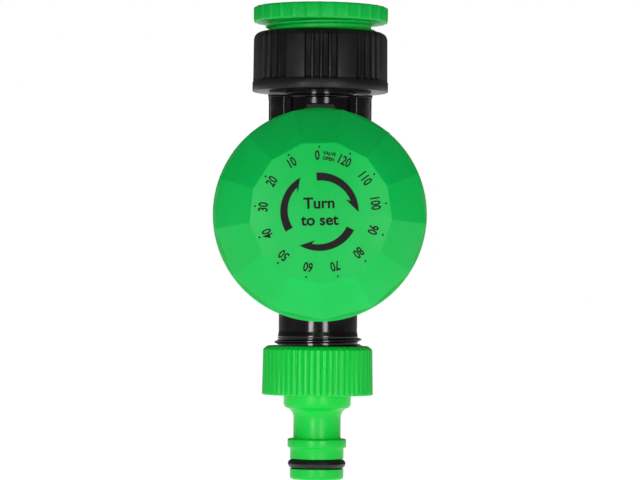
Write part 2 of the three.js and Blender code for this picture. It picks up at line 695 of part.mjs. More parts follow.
const bearing = (from, to) => to.clone().sub(from).angle() / DEG;
const secondPlace = polar(secondReach, 90);
const thirdPlace = nextPlace(secondPlace, centreDistance(wheelTeeth.second, fineModule),
  housingBore - thirdEdge - tipRadius(wheelTeeth.third, fineModule));
const escapePlace = nextPlace(thirdPlace, centreDistance(wheelTeeth.third, fineModule),
  housingBore - escapeEdge - escapeRadius);
const anchorPlace = nextPlace(escapePlace, anchorReach, housingBore - anchorEdge);
const trainAngles = {
  second: 90,
  third: bearing(secondPlace, thirdPlace),
  escape: bearing(thirdPlace, escapePlace),
  anchor: bearing(escapePlace, anchorPlace),
};
const barrelRadius = secondReach - pinRadius - barrelClearance;
const barrelBack = frontPlateDepth - 2 * faceGap - barrelDepth;
const arborPlaces = [secondPlace, thirdPlace, escapePlace, anchorPlace].map((p) => p.toArray());

function plate(depth, pillarHole) {
  const disc = rod(plateRadius, depth, depth + plateThickness, 32);
  return cut(disc,
    rod(arborRadius + turnGap, depth - 1, depth + 2 * plateThickness, 16),
    ...holes(arborPlaces, pinRadius + turnGap, depth - 1, depth + 2 * plateThickness),
    ...holes(pillarPlaces, pillarHole, depth - 1, depth + 2 * plateThickness));
}

function pillar() {
  const back = backPlateDepth + plateThickness + faceGap;
  const front = frontPlateDepth - faceGap;
  const body = turned([[0, backPlateDepth], [pillarTenon, backPlateDepth], [pillarTenon, back],
    [pillarRadius, back], [pillarRadius, front], [0, front]], 16);
  const screwEnd = housingFront + faceGap - movementScrewLength - 0.5;
  return cut(body, rod(screwRadius + fitGap, screwEnd, front + 1, 12));
}

// The dial's shaft. Its front end has a flat that drives the dial.
function mainArborPiece() {
  const flat = box(-arborRadius, arborRadius, arborFlat, arborRadius + 1, hubBack, arborFront + 1);
  return cut(rod(arborRadius, arborBack, arborFront, 16), flat);
}

const smallArbor = () =>
  rod(pinRadius, backPlateDepth + faceGap, frontPlateDepth + plateThickness - faceGap, 12);

// The face cam. Its back is high all round, apart from a notch that lets the valve shut at zero.
function valveCam() {
  const { radius, thickness, notch, halfAngle } = cam;
  const disc = ring(arborRadius + fitGap, radius, camDepth, camDepth + thickness, 24);
  const wedge = new THREE.Shape([
    polar(radius * 0.45, -90 - halfAngle), polar(radius * 1.2, -90 - halfAngle),
    polar(radius * 1.2, -90 + halfAngle), polar(radius * 0.45, -90 + halfAngle),
  ]);
  return cut(disc, prism(wedge, camDepth - 1, camDepth + notch));
}

// A gear outline. The teeth are narrow, as in a clock, so that a pair runs free.
function gearShape(teeth, toothModule, { above, below, rootShare, tipShare }, turn) {
  const pitch = 360 / teeth;
  const radius = pitchRadius(teeth, toothModule);
  const points = [];
  for (let i = 0; i < teeth; i++) {
    const middle = turn + i * pitch;
    const [root, tip] = [rootShare * pitch / 2, tipShare * pitch / 2];
    points.push(polar(radius - below * toothModule, middle - root));
    points.push(polar(radius + above * toothModule, middle - tip));
    points.push(polar(radius + above * toothModule, middle + tip));
    points.push(polar(radius - below * toothModule, middle + root));
  }
  return new THREE.Shape(points);
}

// A wheel with a tooth on the line towards its pinion has the pinion's gap there.
function wheelOn(teeth, toothModule, depth, toothAt, bore) {
  const blank = prism(gearShape(teeth, toothModule, wheelTooth, toothAt), depth, depth + wheelThickness);
  return cut(blank, rod(bore, depth - 1, depth + wheelThickness + 1, 18));
}

// A wheel and its pinion are one piece, bored for its arbor.
function wheelAndPinion(wheelShape, wheelDepth, pinionShape, pinionFrom, pinionTo) {
  const whole = join(
    prism(wheelShape, wheelDepth, wheelDepth + wheelThickness),
    prism(pinionShape, pinionFrom, pinionTo),
  );
  return cut(whole, rod(pinRadius + fitGap, pinionFrom - 5, pinionTo + 5, 12));
}

const greatWheel = () =>
  wheelOn(wheelTeeth.great, greatModule, levelA, trainAngles.second, arborRadius + fitGap);

const halfLeaf = 180 / pinionLeaves;

function secondWheel() {
  return wheelAndPinion(
    gearShape(wheelTeeth.second, fineModule, wheelTooth, trainAngles.third), levelB,
    gearShape(pinionLeaves, greatModule, pinionTooth, trainAngles.second + 180 + halfLeaf),
    levelA - 0.3, levelB + 0.2);
}

function thirdWheel() {
  return wheelAndPinion(
    gearShape(wheelTeeth.third, fineModule, wheelTooth, trainAngles.escape), levelC,
    gearShape(pinionLeaves, fineModule, pinionTooth, trainAngles.third + 180 + halfLeaf),
    levelB - 0.3, levelC + 0.2);
}

// The escape wheel has raked teeth, a pinion on its front and the anchor beside it.
function escapeWheel() {
  const pitch = 360 / wheelTeeth.escape;
  const points = [];
  for (let i = 0; i < wheelTeeth.escape; i++) {
    points.push(polar(escapeRadius, i * pitch));
    points.push(polar(escapeRadius, i * pitch + pitch * 0.12));
    points.push(polar(escapeRadius * 0.74, i * pitch + pitch * 0.55));
    points.push(polar(escapeRadius * 0.74, i * pitch + pitch * 0.85));
  }
  return wheelAndPinion(
    new THREE.Shape(points), levelB,
    gearShape(pinionLeaves, fineModule, pinionTooth, trainAngles.escape + 180 + halfLeaf),
    levelB + 0.5, levelC + wheelThickness + 0.3);
}

// The anchor, with its arbor at the origin and the escape wheel towards +X before it is turned.
function palletAnchor() {
  const palletRing = escapeRadius + palletClearance;
  const palletX = anchorReach - palletRing * Math.cos(45 * DEG);
  const palletY = palletRing * Math.sin(45 * DEG);
  const half = [
    new THREE.Vector2(1.3, 0.9), new THREE.Vector2(palletX - 0.5, palletY - 1.2),
    new THREE.Vector2(palletX + 0.3, palletY), new THREE.Vector2(palletX - 0.3, palletY + 0.4),
    new THREE.Vector2(palletX - 1.3, palletY - 0.6), new THREE.Vector2(-1.2, 1.1),
  ];
  const lower = half.map((p) => new THREE.Vector2(p.x, -p.y)).reverse();
  const blank = prism(new THREE.Shape([...half, ...lower]), levelB, levelB + wheelThickness);
  const bored = cut(blank, rod(pinRadius + fitGap, levelB - 1, levelB + wheelThickness + 1, 12));
  return bored.rotateZ((trainAngles.anchor + 180) * DEG);
}

// A drum fixed behind the front plate, open to the front.
function springBarrel() {
  const front = frontPlateDepth - 2 * faceGap;
  const hole = arborRadius + 2 * turnGap;
  const inside = barrelRadius - barrelWall;
  const floor = barrelBack + 0.7;
  return turned([[hole, barrelBack], [barrelRadius, barrelBack], [barrelRadius, front],
    [inside, front], [inside, floor], [hole, floor], [hole, barrelBack]]);
}

// A flat spiral spring from the arbor to the drum.
function mainspring() {
  const steps = Math.round(mainspringTurns * 14);
  const first = arborRadius + fitGap;
  const last = barrelRadius - barrelWall - fitGap - mainspringThickness;
  const spiral = (offset) => Array.from({ length: steps + 1 }, (_, i) =>
    polar(first + offset + (last - first) * i / steps, 360 * mainspringTurns * i / steps));
  const outline = [...spiral(mainspringThickness), ...spiral(0).reverse()];
  return prism(new THREE.Shape(outline), barrelBack + 1.0, frontPlateDepth - 0.6);
}

const clipFrom = housingFront + 2 * faceGap;
const arborClip = () => ring(arborRadius + fitGap, arborRadius + clipWidth, clipFrom, clipFrom + clipThickness, 16);

// ------------------------------------------------------------------------------------------
// Dial
// ------------------------------------------------------------------------------------------

function dial() {
  const grip = turned([[0, dialBack], [dialSkirtRadius, dialBack], [dialSkirtRadius, dialSkirtFront],
    [dialFaceRadius, dialFront], [0, dialFront]], dialSides, Math.PI + dialHalfSide);
  const rim = rod(dialRimRadius, dialBack, dialBack + dialRimThickness, 39);
  const across = Math.cos(dialHalfSide);
  const run = (dialSkirtRadius - dialFaceRadius) * across / dialSlopeDepth;
  const wallAcross = dialWall * Math.hypot(1, run);
  const innerAt = (depth) => dialSkirtRadius * across - wallAcross - (depth - dialSkirtFront) * run;
  const cavityCorner = dialSkirtFront - (dialCavity - innerAt(dialSkirtFront)) / run;
  const cavity = turned([[0, dialBack - 1], [dialCavity, dialBack - 1], [dialCavity, cavityCorner],
    [innerAt(dialCeiling), dialCeiling], [0, dialCeiling]], 39);
  const hub = rod(hubRadius, hubBack, dialCeiling + 1, 24);
  const ribs = Array.from({ length: dialRibs }, (_, i) =>
    box(hubRadius - 1, innerAt(dialCeiling) - 0.6, -0.6, 0.6, dialCeiling - 3.5, dialCeiling + 0.5)
      .rotateZ(2 * Math.PI * i / dialRibs));
  const shell = join(cut(join(grip, rim), cavity), hub, ...ribs);
  const socket = rod(arborRadius + fitGap, hubBack - 1, arborFront + 2 * faceGap, 16);
  const flat = box(-hubRadius, hubRadius, arborFlat + fitGap, hubRadius, hubBack - 2, dialFront);
  return cut(shell, cut(socket, flat));
}

// ------------------------------------------------------------------------------------------
// Outlet: connector with its hose nipple
// ------------------------------------------------------------------------------------------

function outletConnector() {
  const pitch = 360 / collarRibs;
  const grooves = Array.from({ length: collarRibs }, (_, i) => -90 + (i + 0.5) * pitch);
  const outline = groovedOutline(collarRadius, grooves, pitch * 0.7, collarRibDepth, pitch * 0.35, 90);
  const flareTop = collarBottom + collarFlare.height;
  const gripTop = collarTop - collarShoulder.down;
  const gripFloor = collarRadius - collarRibDepth;
  const grip = prism(outline, flareTop - 0.5, gripTop);
  const shoulder = turned([[0, gripTop - 1], [gripFloor, gripTop - 1], [gripFloor, gripTop],
    [collarRadius - collarShoulder.across, collarTop], [0, collarTop]]);
  const flare = rod(collarRadius + collarFlare.lip, collarBottom, flareTop, collarRibs);
  const fillet = nippleCollar.radius - nippleNeck.radius;
  const { corner } = nippleRidge;
  const grooveHalf = nippleRing.wire + 1.5 * fitGap;
  const grooveFloor = nippleRingOuter - 2 * nippleRing.wire - fitGap;
  const profile = [
    [0, webTop], [nippleCollar.radius, webTop], [nippleCollar.radius, nippleCollarEnd],
    ...arc(nippleCollar.radius, nippleNeckStart, fillet, 105, 180, 3),
    [nippleNeck.radius, nippleRidgeStart],
    [nippleRidgeRadius - corner, nippleRidgeStart],
    [nippleRidgeRadius, nippleRidgeStart - corner],
    [nippleRidgeRadius, nippleRidgeEnd + corner],
    [nippleRidgeRadius - corner, nippleRidgeEnd],
    [nippleBarrel, nippleRidgeEnd],
    [nippleBarrel, nippleRingCentre + grooveHalf],
    [grooveFloor, nippleRingCentre + grooveHalf],
    [grooveFloor, nippleRingCentre - grooveHalf],
    [nippleBarrel, nippleRingCentre - grooveHalf],
    ...arc(nippleBarrel - nippleTipCorner, nippleTip + nippleTipCorner, nippleTipCorner, 0, -90, 2),
    [0, nippleTip],
  ];
  const nipple = turned(profile, 24);
  const socket = threadWall(innerRadius(outletThread), webTop, collarTop + 1);
  const bore = rod(nippleBore, nippleTip - 1, webTop + 1, 24);
  const threadTop = collarTop - threadLead;
  const ridge = femaleThread(outletThread, threadTop - collarThreadTurns * outletThread.pitch, threadTop);
  return join(cut(join(grip, shoulder, flare, nipple), socket, bore), ridge);
}

const outletWasher = () =>
  ring(outletBore + 0.2, innerRadius(outletThread) - 0.64, outletWasherBottom, outletWasherTop);

const nippleRingPiece = () => roundRing(nippleRing.wire, nippleRingOuter, nippleRingCentre);

// ------------------------------------------------------------------------------------------
// Finishes and assembly
// ------------------------------------------------------------------------------------------

const finishes = {
  green: { color: 0x23b455, roughness: 0.42, metalness: 0 },
  deepGreen: { color: 0x12a24a, roughness: 0.42, metalness: 0 },
  black: { color: 0x2c2b29, roughness: 0.35, metalness: 0 },
  rubber: { color: 0x1d1c1c, roughness: 0.8, metalness: 0 },
  white: { color: 0xdedfd8, roughness: 0.5, metalness: 0 },
  brass: { color: 0xb99a52, roughness: 0.35, metalness: 1 },
  steel: { color: 0xa9adb2, roughness: 0.3, metalness: 1 },
};

const timer = new THREE.Group();
const front = new THREE.Group();
const valve = new THREE.Group();
front.rotation.x = Math.PI / 2;
valve.rotation.x = Math.PI / 2;
front.position.z = dialZ;
valve.position.z = valveZ;
timer.add(front, valve);

function add(group, name, geometry, finish, place = [0, 0, 0]) {
  const mesh = new THREE.Mesh(closed(geometry), new THREE.MeshStandardMaterial(finishes[finish]));
  mesh.name = name;
  mesh.position.set(...place);
  group.add(mesh);
  return mesh;
}

add(timer, 'inlet_adaptor', inletAdaptor(), 'deepGreen');
add(timer, 'inlet_filter_washer', filterWasherPiece(), 'rubber');
add(timer, 'inlet_filter_mesh', filterMesh(), 'white');
add(timer, 'inlet_swivel_nut', swivelNut(), 'black');
add(timer, 'nut_seal_washer', nutSealWasher(), 'rubber');
add(timer, 'valve_body', valveBody(), 'black');
add(timer, 'outlet_connector', outletConnector(), 'green');
add(timer, 'outlet_washer', outletWasher(), 'rubber');
add(timer, 'nipple_o_ring', nippleRingPiece(), 'rubber');

add(valve, 'rear_cap', rearCap(), 'black');
add(valve, 'rear_cap_o_ring', capRingPiece(), 'rubber');
add(valve, 'valve_poppet', valvePoppet(), 'white');
add(valve, 'valve_seal_disc', valveSealDisc(), 'rubber');
add(valve, 'valve_stem', valveStem(), 'steel');
add(valve, 'valve_spring', valveSpring(), 'steel');
add(valve, 'stem_gland', stemGland(), 'white');
add(valve, 'stem_o_ring', stemRingPiece(), 'rubber');
capScrewPlaces.forEach(([x, y], i) =>
  add(valve, `rear_cap_screw_${i + 1}`, screw(capScrewLength), 'steel', [x, y, -capBack - faceGap]));

add(front, 'timer_housing', timerHousing(), 'black');
housingScrewPlaces.forEach(([x, y], i) =>
  add(front, `housing_screw_${i + 1}`, screw(housingScrewLength), 'steel', [x, y, discBack - faceGap]));
add(front, 'movement_back_plate', plate(backPlateDepth, pillarTenon + fitGap), 'brass');
add(front, 'movement_front_plate', plate(frontPlateDepth, screwRadius + fitGap), 'brass');
pillarPlaces.forEach(([x, y], i) => {
  add(front, `movement_pillar_${i + 1}`, pillar(), 'brass', [x, y, 0]);
  const fastener = add(front, `movement_screw_${i + 1}`, screw(movementScrewLength), 'steel',
    [x, y, housingFront + faceGap]);
  fastener.rotation.x = Math.PI;
});
add(front, 'main_arbor', mainArborPiece(), 'steel');
add(front, 'valve_cam', valveCam(), 'white');
add(front, 'great_wheel', greatWheel(), 'brass');
add(front, 'spring_barrel', springBarrel(), 'brass');
add(front, 'mainspring', mainspring(), 'steel');
add(front, 'second_arbor', smallArbor(), 'steel', [...arborPlaces[0], 0]);
add(front, 'second_wheel', secondWheel(), 'brass', [...arborPlaces[0], 0]);
add(front, 'third_arbor', smallArbor(), 'steel', [...arborPlaces[1], 0]);
add(front, 'third_wheel', thirdWheel(), 'brass', [...arborPlaces[1], 0]);
add(front, 'escape_arbor', smallArbor(), 'steel', [...arborPlaces[2], 0]);
add(front, 'escape_wheel', escapeWheel(), 'brass', [...arborPlaces[2], 0]);
add(front, 'anchor_arbor', smallArbor(), 'steel', [...arborPlaces[3], 0]);
add(front, 'pallet_anchor', palletAnchor(), 'steel', [...arborPlaces[3], 0]);
add(front, 'arbor_clip', arborClip(), 'steel');
add(front, 'dial', dial(), 'green');

export default timer;
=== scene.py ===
# %% [markdown]
# # A mechanical hose-end water timer
# The timer hangs from a garden tap. A green adaptor screws on the tap, a black swivel nut holds
# the valve body under it, a clockwork dial sits in front of the body, and a green hose nipple is
# screwed on below. The CAD frame is loaded first, because every visible piece takes its place from
# it.

# %% Load the frame
import json
import math

import bmesh
import bpy
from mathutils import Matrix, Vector


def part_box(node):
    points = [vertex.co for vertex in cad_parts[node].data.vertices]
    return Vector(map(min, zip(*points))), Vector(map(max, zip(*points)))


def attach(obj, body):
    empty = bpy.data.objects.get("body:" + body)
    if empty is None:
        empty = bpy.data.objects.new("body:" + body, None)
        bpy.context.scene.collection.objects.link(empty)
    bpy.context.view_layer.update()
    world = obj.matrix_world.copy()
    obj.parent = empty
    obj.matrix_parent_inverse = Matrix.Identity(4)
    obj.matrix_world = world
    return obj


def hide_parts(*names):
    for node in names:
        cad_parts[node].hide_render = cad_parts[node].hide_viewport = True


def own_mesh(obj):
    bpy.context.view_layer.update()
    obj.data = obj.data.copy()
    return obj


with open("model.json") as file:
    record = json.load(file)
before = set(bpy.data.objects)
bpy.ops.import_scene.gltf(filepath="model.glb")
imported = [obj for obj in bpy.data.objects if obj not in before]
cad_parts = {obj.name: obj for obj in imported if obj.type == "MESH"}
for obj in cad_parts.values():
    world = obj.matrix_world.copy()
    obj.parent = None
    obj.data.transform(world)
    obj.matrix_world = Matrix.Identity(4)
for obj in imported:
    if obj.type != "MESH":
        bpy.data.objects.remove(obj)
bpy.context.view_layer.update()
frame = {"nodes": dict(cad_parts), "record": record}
MM = 0.001

# %% [markdown]
# Sizes are written in millimetres, as on a drawing, and places come from the CAD boxes. The pipe
# axis is upright at x = y = 0, and the dial's axis is level and points at the reader, along -Y.

# %% Places from the frame
def span(node):
    low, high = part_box(node)
    return [value / MM for value in low], [value / MM for value in high]


dial_low, dial_high = span("dial")
nut_low, nut_high = span("inlet_swivel_nut")
adaptor_low, adaptor_high = span("inlet_adaptor")
body_low, _ = span("valve_body")
outlet_low, outlet_high = span("outlet_connector")
housing_low, housing_high = span("timer_housing")
cap_low, cap_high = span("rear_cap")
joints = {joint["name"]: joint for joint in frame["record"]["behaviour"]["joints"]}
DIAL_Z = joints["dial_turn"]["pos_m"][2] / MM
CAP_Z = (cap_low[2] + cap_high[2]) / 2
print("dial axis at", round(DIAL_Z, 2), "mm, rear cap at", round(CAP_Z, 2), "mm")

# %% [markdown]
# ## Camera
# A long lens from nearly a metre away keeps the cylinders straight-sided. The camera stands a
# little below the middle of the timer and to its left, and looks slightly up, so the underside of
# the nut and of the adaptor just shows. Heights and sides are in millimetres, tilts in degrees.

# %% Camera
CAMERA_DISTANCE, CAMERA_HEIGHT, CAMERA_SIDE = 917.0, -76.0, -9.4
CAMERA_PITCH, CAMERA_ROLL, CAMERA_TURN = 1.0, 0.55, -0.62
camera = bpy.data.objects.new("camera", bpy.data.cameras.new("camera"))
bpy.context.scene.collection.objects.link(camera)
camera.data.lens = 172.0
camera.data.sensor_width = 36.0
camera.data.clip_start = 0.05
camera.location = (CAMERA_SIDE * MM, -CAMERA_DISTANCE * MM, CAMERA_HEIGHT * MM)
camera.rotation_mode = "XYZ"
tilts = (90 + CAMERA_PITCH, -CAMERA_ROLL, CAMERA_TURN)
camera.rotation_euler = [math.radians(tilt) for tilt in tilts]
bpy.context.scene.camera = camera
print("camera at", [round(v, 3) for v in camera.location])

# %% [markdown]
# ## Modelling helpers
# Most of this object was turned, moulded in two halves, or threaded. So the helpers follow the ways
# such shapes are made by hand in Blender: draw an outline and spin it, or add a circle, press its
# grooves in, and extrude it upwards loop by loop.

# %% Selecting and editing
def only(piece):
    bpy.ops.object.select_all(action="DESELECT")
    bpy.context.view_layer.objects.active = piece
    piece.select_set(True)


def edit(piece, kind="VERT"):
    only(piece)
    bpy.ops.object.mode_set(mode="EDIT")
    bpy.ops.mesh.select_mode(type=kind)


def leave():
    bpy.ops.object.mode_set(mode="OBJECT")


def named(name):
    piece = bpy.context.object
    piece.name = piece.data.name = name
    return piece


def pick(piece, kind, test):
    """Selects the corners, edges or faces whose place and normal pass a test, in edit mode."""
    bpy.ops.mesh.select_mode(type=kind)
    bpy.ops.mesh.select_all(action="DESELECT")
    shape = bmesh.from_edit_mesh(piece.data)
    for part in {"VERT": shape.verts, "EDGE": shape.edges, "FACE": shape.faces}[kind]:
        if kind == "VERT":
            place, facing = part.co, part.normal
        elif kind == "EDGE":
            ends = [corner.co for corner in part.verts]
            place, facing = (ends[0] + ends[1]) / 2, (ends[1] - ends[0]).normalized()
        else:
            place, facing = part.calc_center_median(), part.normal
        part.select_set(bool(test(place / MM, facing)))
    shape.select_flush_mode()
    bmesh.update_edit_mesh(piece.data)


# %% Merging, rounding and joining
def tidy(piece):
    """Merges the corners that meet and turns every face outwards."""
    edit(piece)
    bpy.ops.mesh.select_all(action="SELECT")
    bpy.ops.mesh.remove_doubles(threshold=0.0005 * MM)
    bpy.ops.mesh.normals_make_consistent(inside=False)
    leave()
    return piece


def smooth(piece, degrees=32):
    only(piece)
    bpy.ops.object.shade_smooth_by_angle(angle=math.radians(degrees))
    return piece


def combine(piece, tool, how):
    """Joins a tool to a piece, or cuts it out, and removes the tool."""
    change = piece.modifiers.new(how.lower(), "BOOLEAN")
    change.operation, change.object, change.solver = how, tool, "EXACT"
    only(piece)
    bpy.ops.object.modifier_apply(modifier=change.name)
    bpy.data.objects.remove(tool)
    return piece


def turn_to_front(piece, height):
    """Turns a piece made along +Z so that +Z points at the reader, at a height on the pipe."""
    piece.rotation_euler = (math.pi / 2, 0, 0)
    piece.location = (0, 0, height * MM)
    only(piece)
    bpy.ops.object.transform_apply(location=True, rotation=True, scale=True)
    return piece


def placed(piece, move=(0, 0, 0), turn=0.0):
    """Moves a piece by millimetres and turns it by degrees about Z, and keeps both in its mesh."""
    piece.location = Vector(move) * MM
    piece.rotation_euler[2] = math.radians(turn)
    only(piece)
    bpy.ops.object.transform_apply(location=True, rotation=True, scale=True)
    return piece


def copied(piece, name, move=(0, 0, 0), turn=0.0):
    only(piece)
    bpy.ops.object.duplicate()
    return placed(named(name), move, turn)


# %% Drawing an outline and spinning it
def drawn(name, points):
    """Extrudes one corner from point to point, in millimetres."""
    bpy.ops.mesh.primitive_plane_add(size=MM)
    piece = named(name)
    edit(piece)
    bpy.ops.mesh.select_all(action="SELECT")
    bpy.ops.mesh.merge(type="CENTER")
    bpy.ops.transform.translate(value=Vector(points[0]) * MM)
    for here, there in zip(points, points[1:]):
        step = (Vector(there) - Vector(here)) * MM
        bpy.ops.mesh.extrude_vertices_move(TRANSFORM_OT_translate={"value": step})
    return piece


def turned(name, outline, steps=96):
    """Spins an outline of (radius, height) points round the upright axis into a closed piece."""
    piece = drawn(name, [(radius, 0, height) for radius, height in outline])
    bpy.ops.mesh.select_all(action="SELECT")
    bpy.ops.mesh.spin(steps=steps, angle=2 * math.pi, center=(0, 0, 0), axis=(0, 0, 1))
    leave()
    return tidy(piece)


def corner(centre_radius, centre_height, radius, start, end, steps=5):
    """Points of a round corner, for an outline."""
    angles = [math.radians(start + (end - start) * i / steps) for i in range(steps + 1)]
    return [
        (centre_radius + radius * math.cos(a), centre_height + radius * math.sin(a))
        for a in angles
    ]


def disc(name, radius, low, high, steps=64):
    bpy.ops.mesh.primitive_cylinder_add(
        vertices=steps,
        radius=radius * MM,
        depth=(high - low) * MM,
        location=(0, 0, (low + high) / 2 * MM),
    )
    piece = named(name)
    bpy.ops.object.transform_apply(location=True, rotation=True, scale=True)
    return piece


def block(name, low, high):
    centre = [(a + b) / 2 * MM for a, b in zip(low, high)]
    bpy.ops.mesh.primitive_cube_add(size=1, location=centre)
    piece = named(name)
    piece.scale = [(b - a) * MM for a, b in zip(low, high)]
    bpy.ops.object.transform_apply(location=True, rotation=True, scale=True)
    return piece


def rounded(piece, width, segments, test):
    """Bevels the edges that pass a test."""
    edit(piece, "EDGE")
    pick(piece, "EDGE", test)
    bpy.ops.mesh.bevel(offset=width * MM, segments=segments, affect="EDGES")
    leave()
    return tidy(piece)


# %% Ribbed rings, raised loop by loop
class Ribbed:
    """A closed ring whose outline repeats a list of groove depths round the axis."""

    def __init__(self, name, repeats, depths, start=-90.0):
        self.depths, self.step = depths, 360 / (repeats * len(depths))
        self.start = math.radians(start)
        bpy.ops.mesh.primitive_circle_add(
            vertices=repeats * len(depths), radius=MM, fill_type="NOTHING"
        )
        self.piece = named(name)
        placed(self.piece, turn=start - 90)
        edit(self.piece)
        bpy.ops.mesh.select_all(action="SELECT")
        self.height, self.open = 0.0, True

    def phase(self, place):
        turn = math.degrees(math.atan2(place.y, place.x) - self.start) / self.step
        return round(turn) % len(self.depths)

    def loop(self, radius, height, share=0.0):
        """Raises a new loop, and gives each of its corners its own distance from the axis."""
        lift = Vector((0, 0, (height - self.height) * MM))
        if self.open:
            bpy.ops.transform.translate(value=lift)
        else:
            bpy.ops.mesh.extrude_region_move(TRANSFORM_OT_translate={"value": lift})
        self.open, self.height = False, height
        shape = bmesh.from_edit_mesh(self.piece.data)
        shape.verts.ensure_lookup_table()
        chosen = [corner.index for corner in shape.verts if corner.select]
        for depth in sorted(set(self.depths)):
            bpy.ops.mesh.select_all(action="DESELECT")
            shape = bmesh.from_edit_mesh(self.piece.data)
            shape.verts.ensure_lookup_table()
            now = 1.0
            for index in chosen:
                place = shape.verts[index].co
                if self.depths[self.phase(place)] == depth:
                    shape.verts[index].select_set(True)
                    now = math.hypot(place.x, place.y) / MM
            factor = (radius - depth * share) / now
            bpy.ops.transform.resize(value=(factor, factor, 1), center_override=(0, 0, 0))
        shape = bmesh.from_edit_mesh(self.piece.data)
        shape.verts.ensure_lookup_table()
        for index in chosen:
            shape.verts[index].select_set(True)
        shape.select_flush_mode()
        return self

    def finish(self):
        leave()
        return tidy(self.piece)


# %% Screw threads
def thread(name, wall, tip, pitch, foot, crest, low, turns):
    """A closed ridge wound round the axis, its foot sunk in the wall it belongs to."""
    sunk = wall + (0.3 if tip < wall else -0.3)
    piece = drawn(
        name,
        [
            (sunk, 0, low - foot / 2),
            (wall, 0, low - foot / 2),
            (tip, 0, low - crest / 2),
            (tip, 0, low + crest / 2),
            (wall, 0, low + foot / 2),
            (sunk, 0, low + foot / 2),
            (sunk, 0, low - foot / 2),
        ],
    )
    leave()
    tidy(piece)
    wind = piece.modifiers.new("wind", "SCREW")
    wind.angle, wind.screw_offset = 2 * math.pi * turns, pitch * turns * MM
    wind.steps = wind.render_steps = int(64 * turns)
    bpy.ops.object.modifier_apply(modifier=wind.name)
    edit(piece, "EDGE")
    bpy.ops.mesh.select_all(action="DESELECT")
    bpy.ops.mesh.select_non_manifold()
    bpy.ops.mesh.fill()
    leave()
    return tidy(piece)

# %% [markdown]
# ## Finishes
# Every finish is made of shader nodes. A finish reads Object coordinates, which are the timer's
# own metres, so a grain of half a millimetre stays half a millimetre on every piece. Sums on a
# value are written as plain Python, and each sum adds its Math node.

# %% A finish, and sums on what varies
class Value:
    """A number that changes over a surface."""

    def __init__(self, finish, socket):
        self.finish, self.socket = finish, socket

    def sum(self, how, first, second):
        return self.finish.node("ShaderNodeMath", {"operation": how}, {0: first, 1: second})

    def __add__(self, other):
        return self.sum("ADD", self, other)

    def __sub__(self, other):
        return self.sum("SUBTRACT", self, other)

    def __mul__(self, other):
        return self.sum("MULTIPLY", self, other)

    def __rsub__(self, other):
        return self.sum("SUBTRACT", other, self)

    __radd__, __rmul__ = __add__, __mul__


class Finish:
    """A node material. Its shader's constants are set directly, and only what varies is linked."""

    def __init__(self, name, **constants):
        self.material = bpy.data.materials.new(name)
        self.material.use_nodes = True
        self.tree = self.material.node_tree
        self.tree.nodes.clear()
        self.shader = self.tree.nodes.new("ShaderNodeBsdfPrincipled")
        output = self.tree.nodes.new("ShaderNodeOutputMaterial")
        self.tree.links.new(self.shader.outputs[0], output.inputs["Surface"])
        for socket, value in constants.items():
            self.shader.inputs[socket.replace("_", " ")].default_value = value
        self.place = self.node("ShaderNodeTexCoord", {}, {}, "Object")

    def node(self, kind, settings, sockets, output=0):
        """Adds a node, its settings first, and gives one of its outputs."""
        made = self.tree.nodes.new(kind)
        for name, value in settings.items():
            if name == "stops":
                ramp = made.color_ramp
                for stop, (position, shade) in zip(ramp.elements, value):
                    stop.position, stop.color = position, (shade, shade, shade, 1)
            else:
                setattr(made, name, value)
        for name, value in sockets.items():
            if isinstance(value, Value):
                self.tree.links.new(value.socket, made.inputs[name])
            else:
                made.inputs[name].default_value = value
        return Value(self, made.outputs[output])

    def noise(self, size, detail=2.0, stretch=(1, 1, 1)):
        """Cloudy noise whose blotches are about size millimetres."""
        spread = [1 / (size * MM * part) for part in stretch]
        place = self.node("ShaderNodeMapping", {}, {"Vector": self.place, "Scale": spread})
        return self.node(
            "ShaderNodeTexNoise", {}, {"Vector": place, "Scale": 1.0, "Detail": detail}
        )

    def between(self, low, high, value):
        return self.node(
            "ShaderNodeMapRange",
            {"interpolation_type": "SMOOTHSTEP"},
            {"Value": value, "From Min": low, "From Max": high},
        )

    def blend(self, share, first, second):
        """Mixes two colours, each a link or (red, green, blue, 1)."""
        settings = {"data_type": "RGBA", "clamp_factor": True}
        return self.node("ShaderNodeMix", settings, {0: share, 6: first, 7: second}, 2)

    def feed(self, socket, value):
        self.tree.links.new(value.socket, self.shader.inputs[socket])

    def bump(self, height, depth, strength=1.0):
        """Presses a pattern of 0 to 1 into the surface, to a depth in millimetres."""
        sockets = {"Height": height, "Distance": depth * MM, "Strength": strength}
        self.feed("Normal", self.node("ShaderNodeBump", {}, sockets))


def colour(red, green, blue):
    """A colour given as on a screen, 0 to 255, made linear."""
    linear = [
        (c / 255 / 12.92) if c / 255 <= 0.04045 else ((c / 255 + 0.055) / 1.055) ** 2.4
        for c in (red, green, blue)
    ]
    return (*linear, 1)


# %% [markdown]
# Moulded plastic is never one flat colour. The melt flows in and leaves faint cloudy streaks, the
# steel mould leaves a very shallow orange-peel, and handling dulls it in patches and scratches. The
# three greens and the blacks share that recipe, with their own colours, gloss and grain.

# %% Moulded plastic
def moulded(name, shade, streak, gloss, grain, depth, dulled=0.1, **constants):
    finish = Finish(name, IOR=1.46, **constants)
    flow = finish.noise(14, 3.0, (1, 1, 2.5))
    speck = finish.noise(1.1, 4.0)
    clouds = finish.between(0.35, 0.68, flow * 0.8 + speck * 0.2)
    finish.feed("Base Color", finish.blend(clouds, shade, streak))
    handled = finish.between(0.42, 0.7, finish.noise(6, 5.0))
    scuff = finish.between(0.63, 0.72, finish.noise(0.9, 2.0, (0.35, 1, 9)))
    finish.feed("Roughness", handled * dulled + scuff * (dulled * 1.2) + gloss)
    peel = finish.noise(grain, 2.0)
    finish.bump(peel, depth, 0.6)
    return finish.material


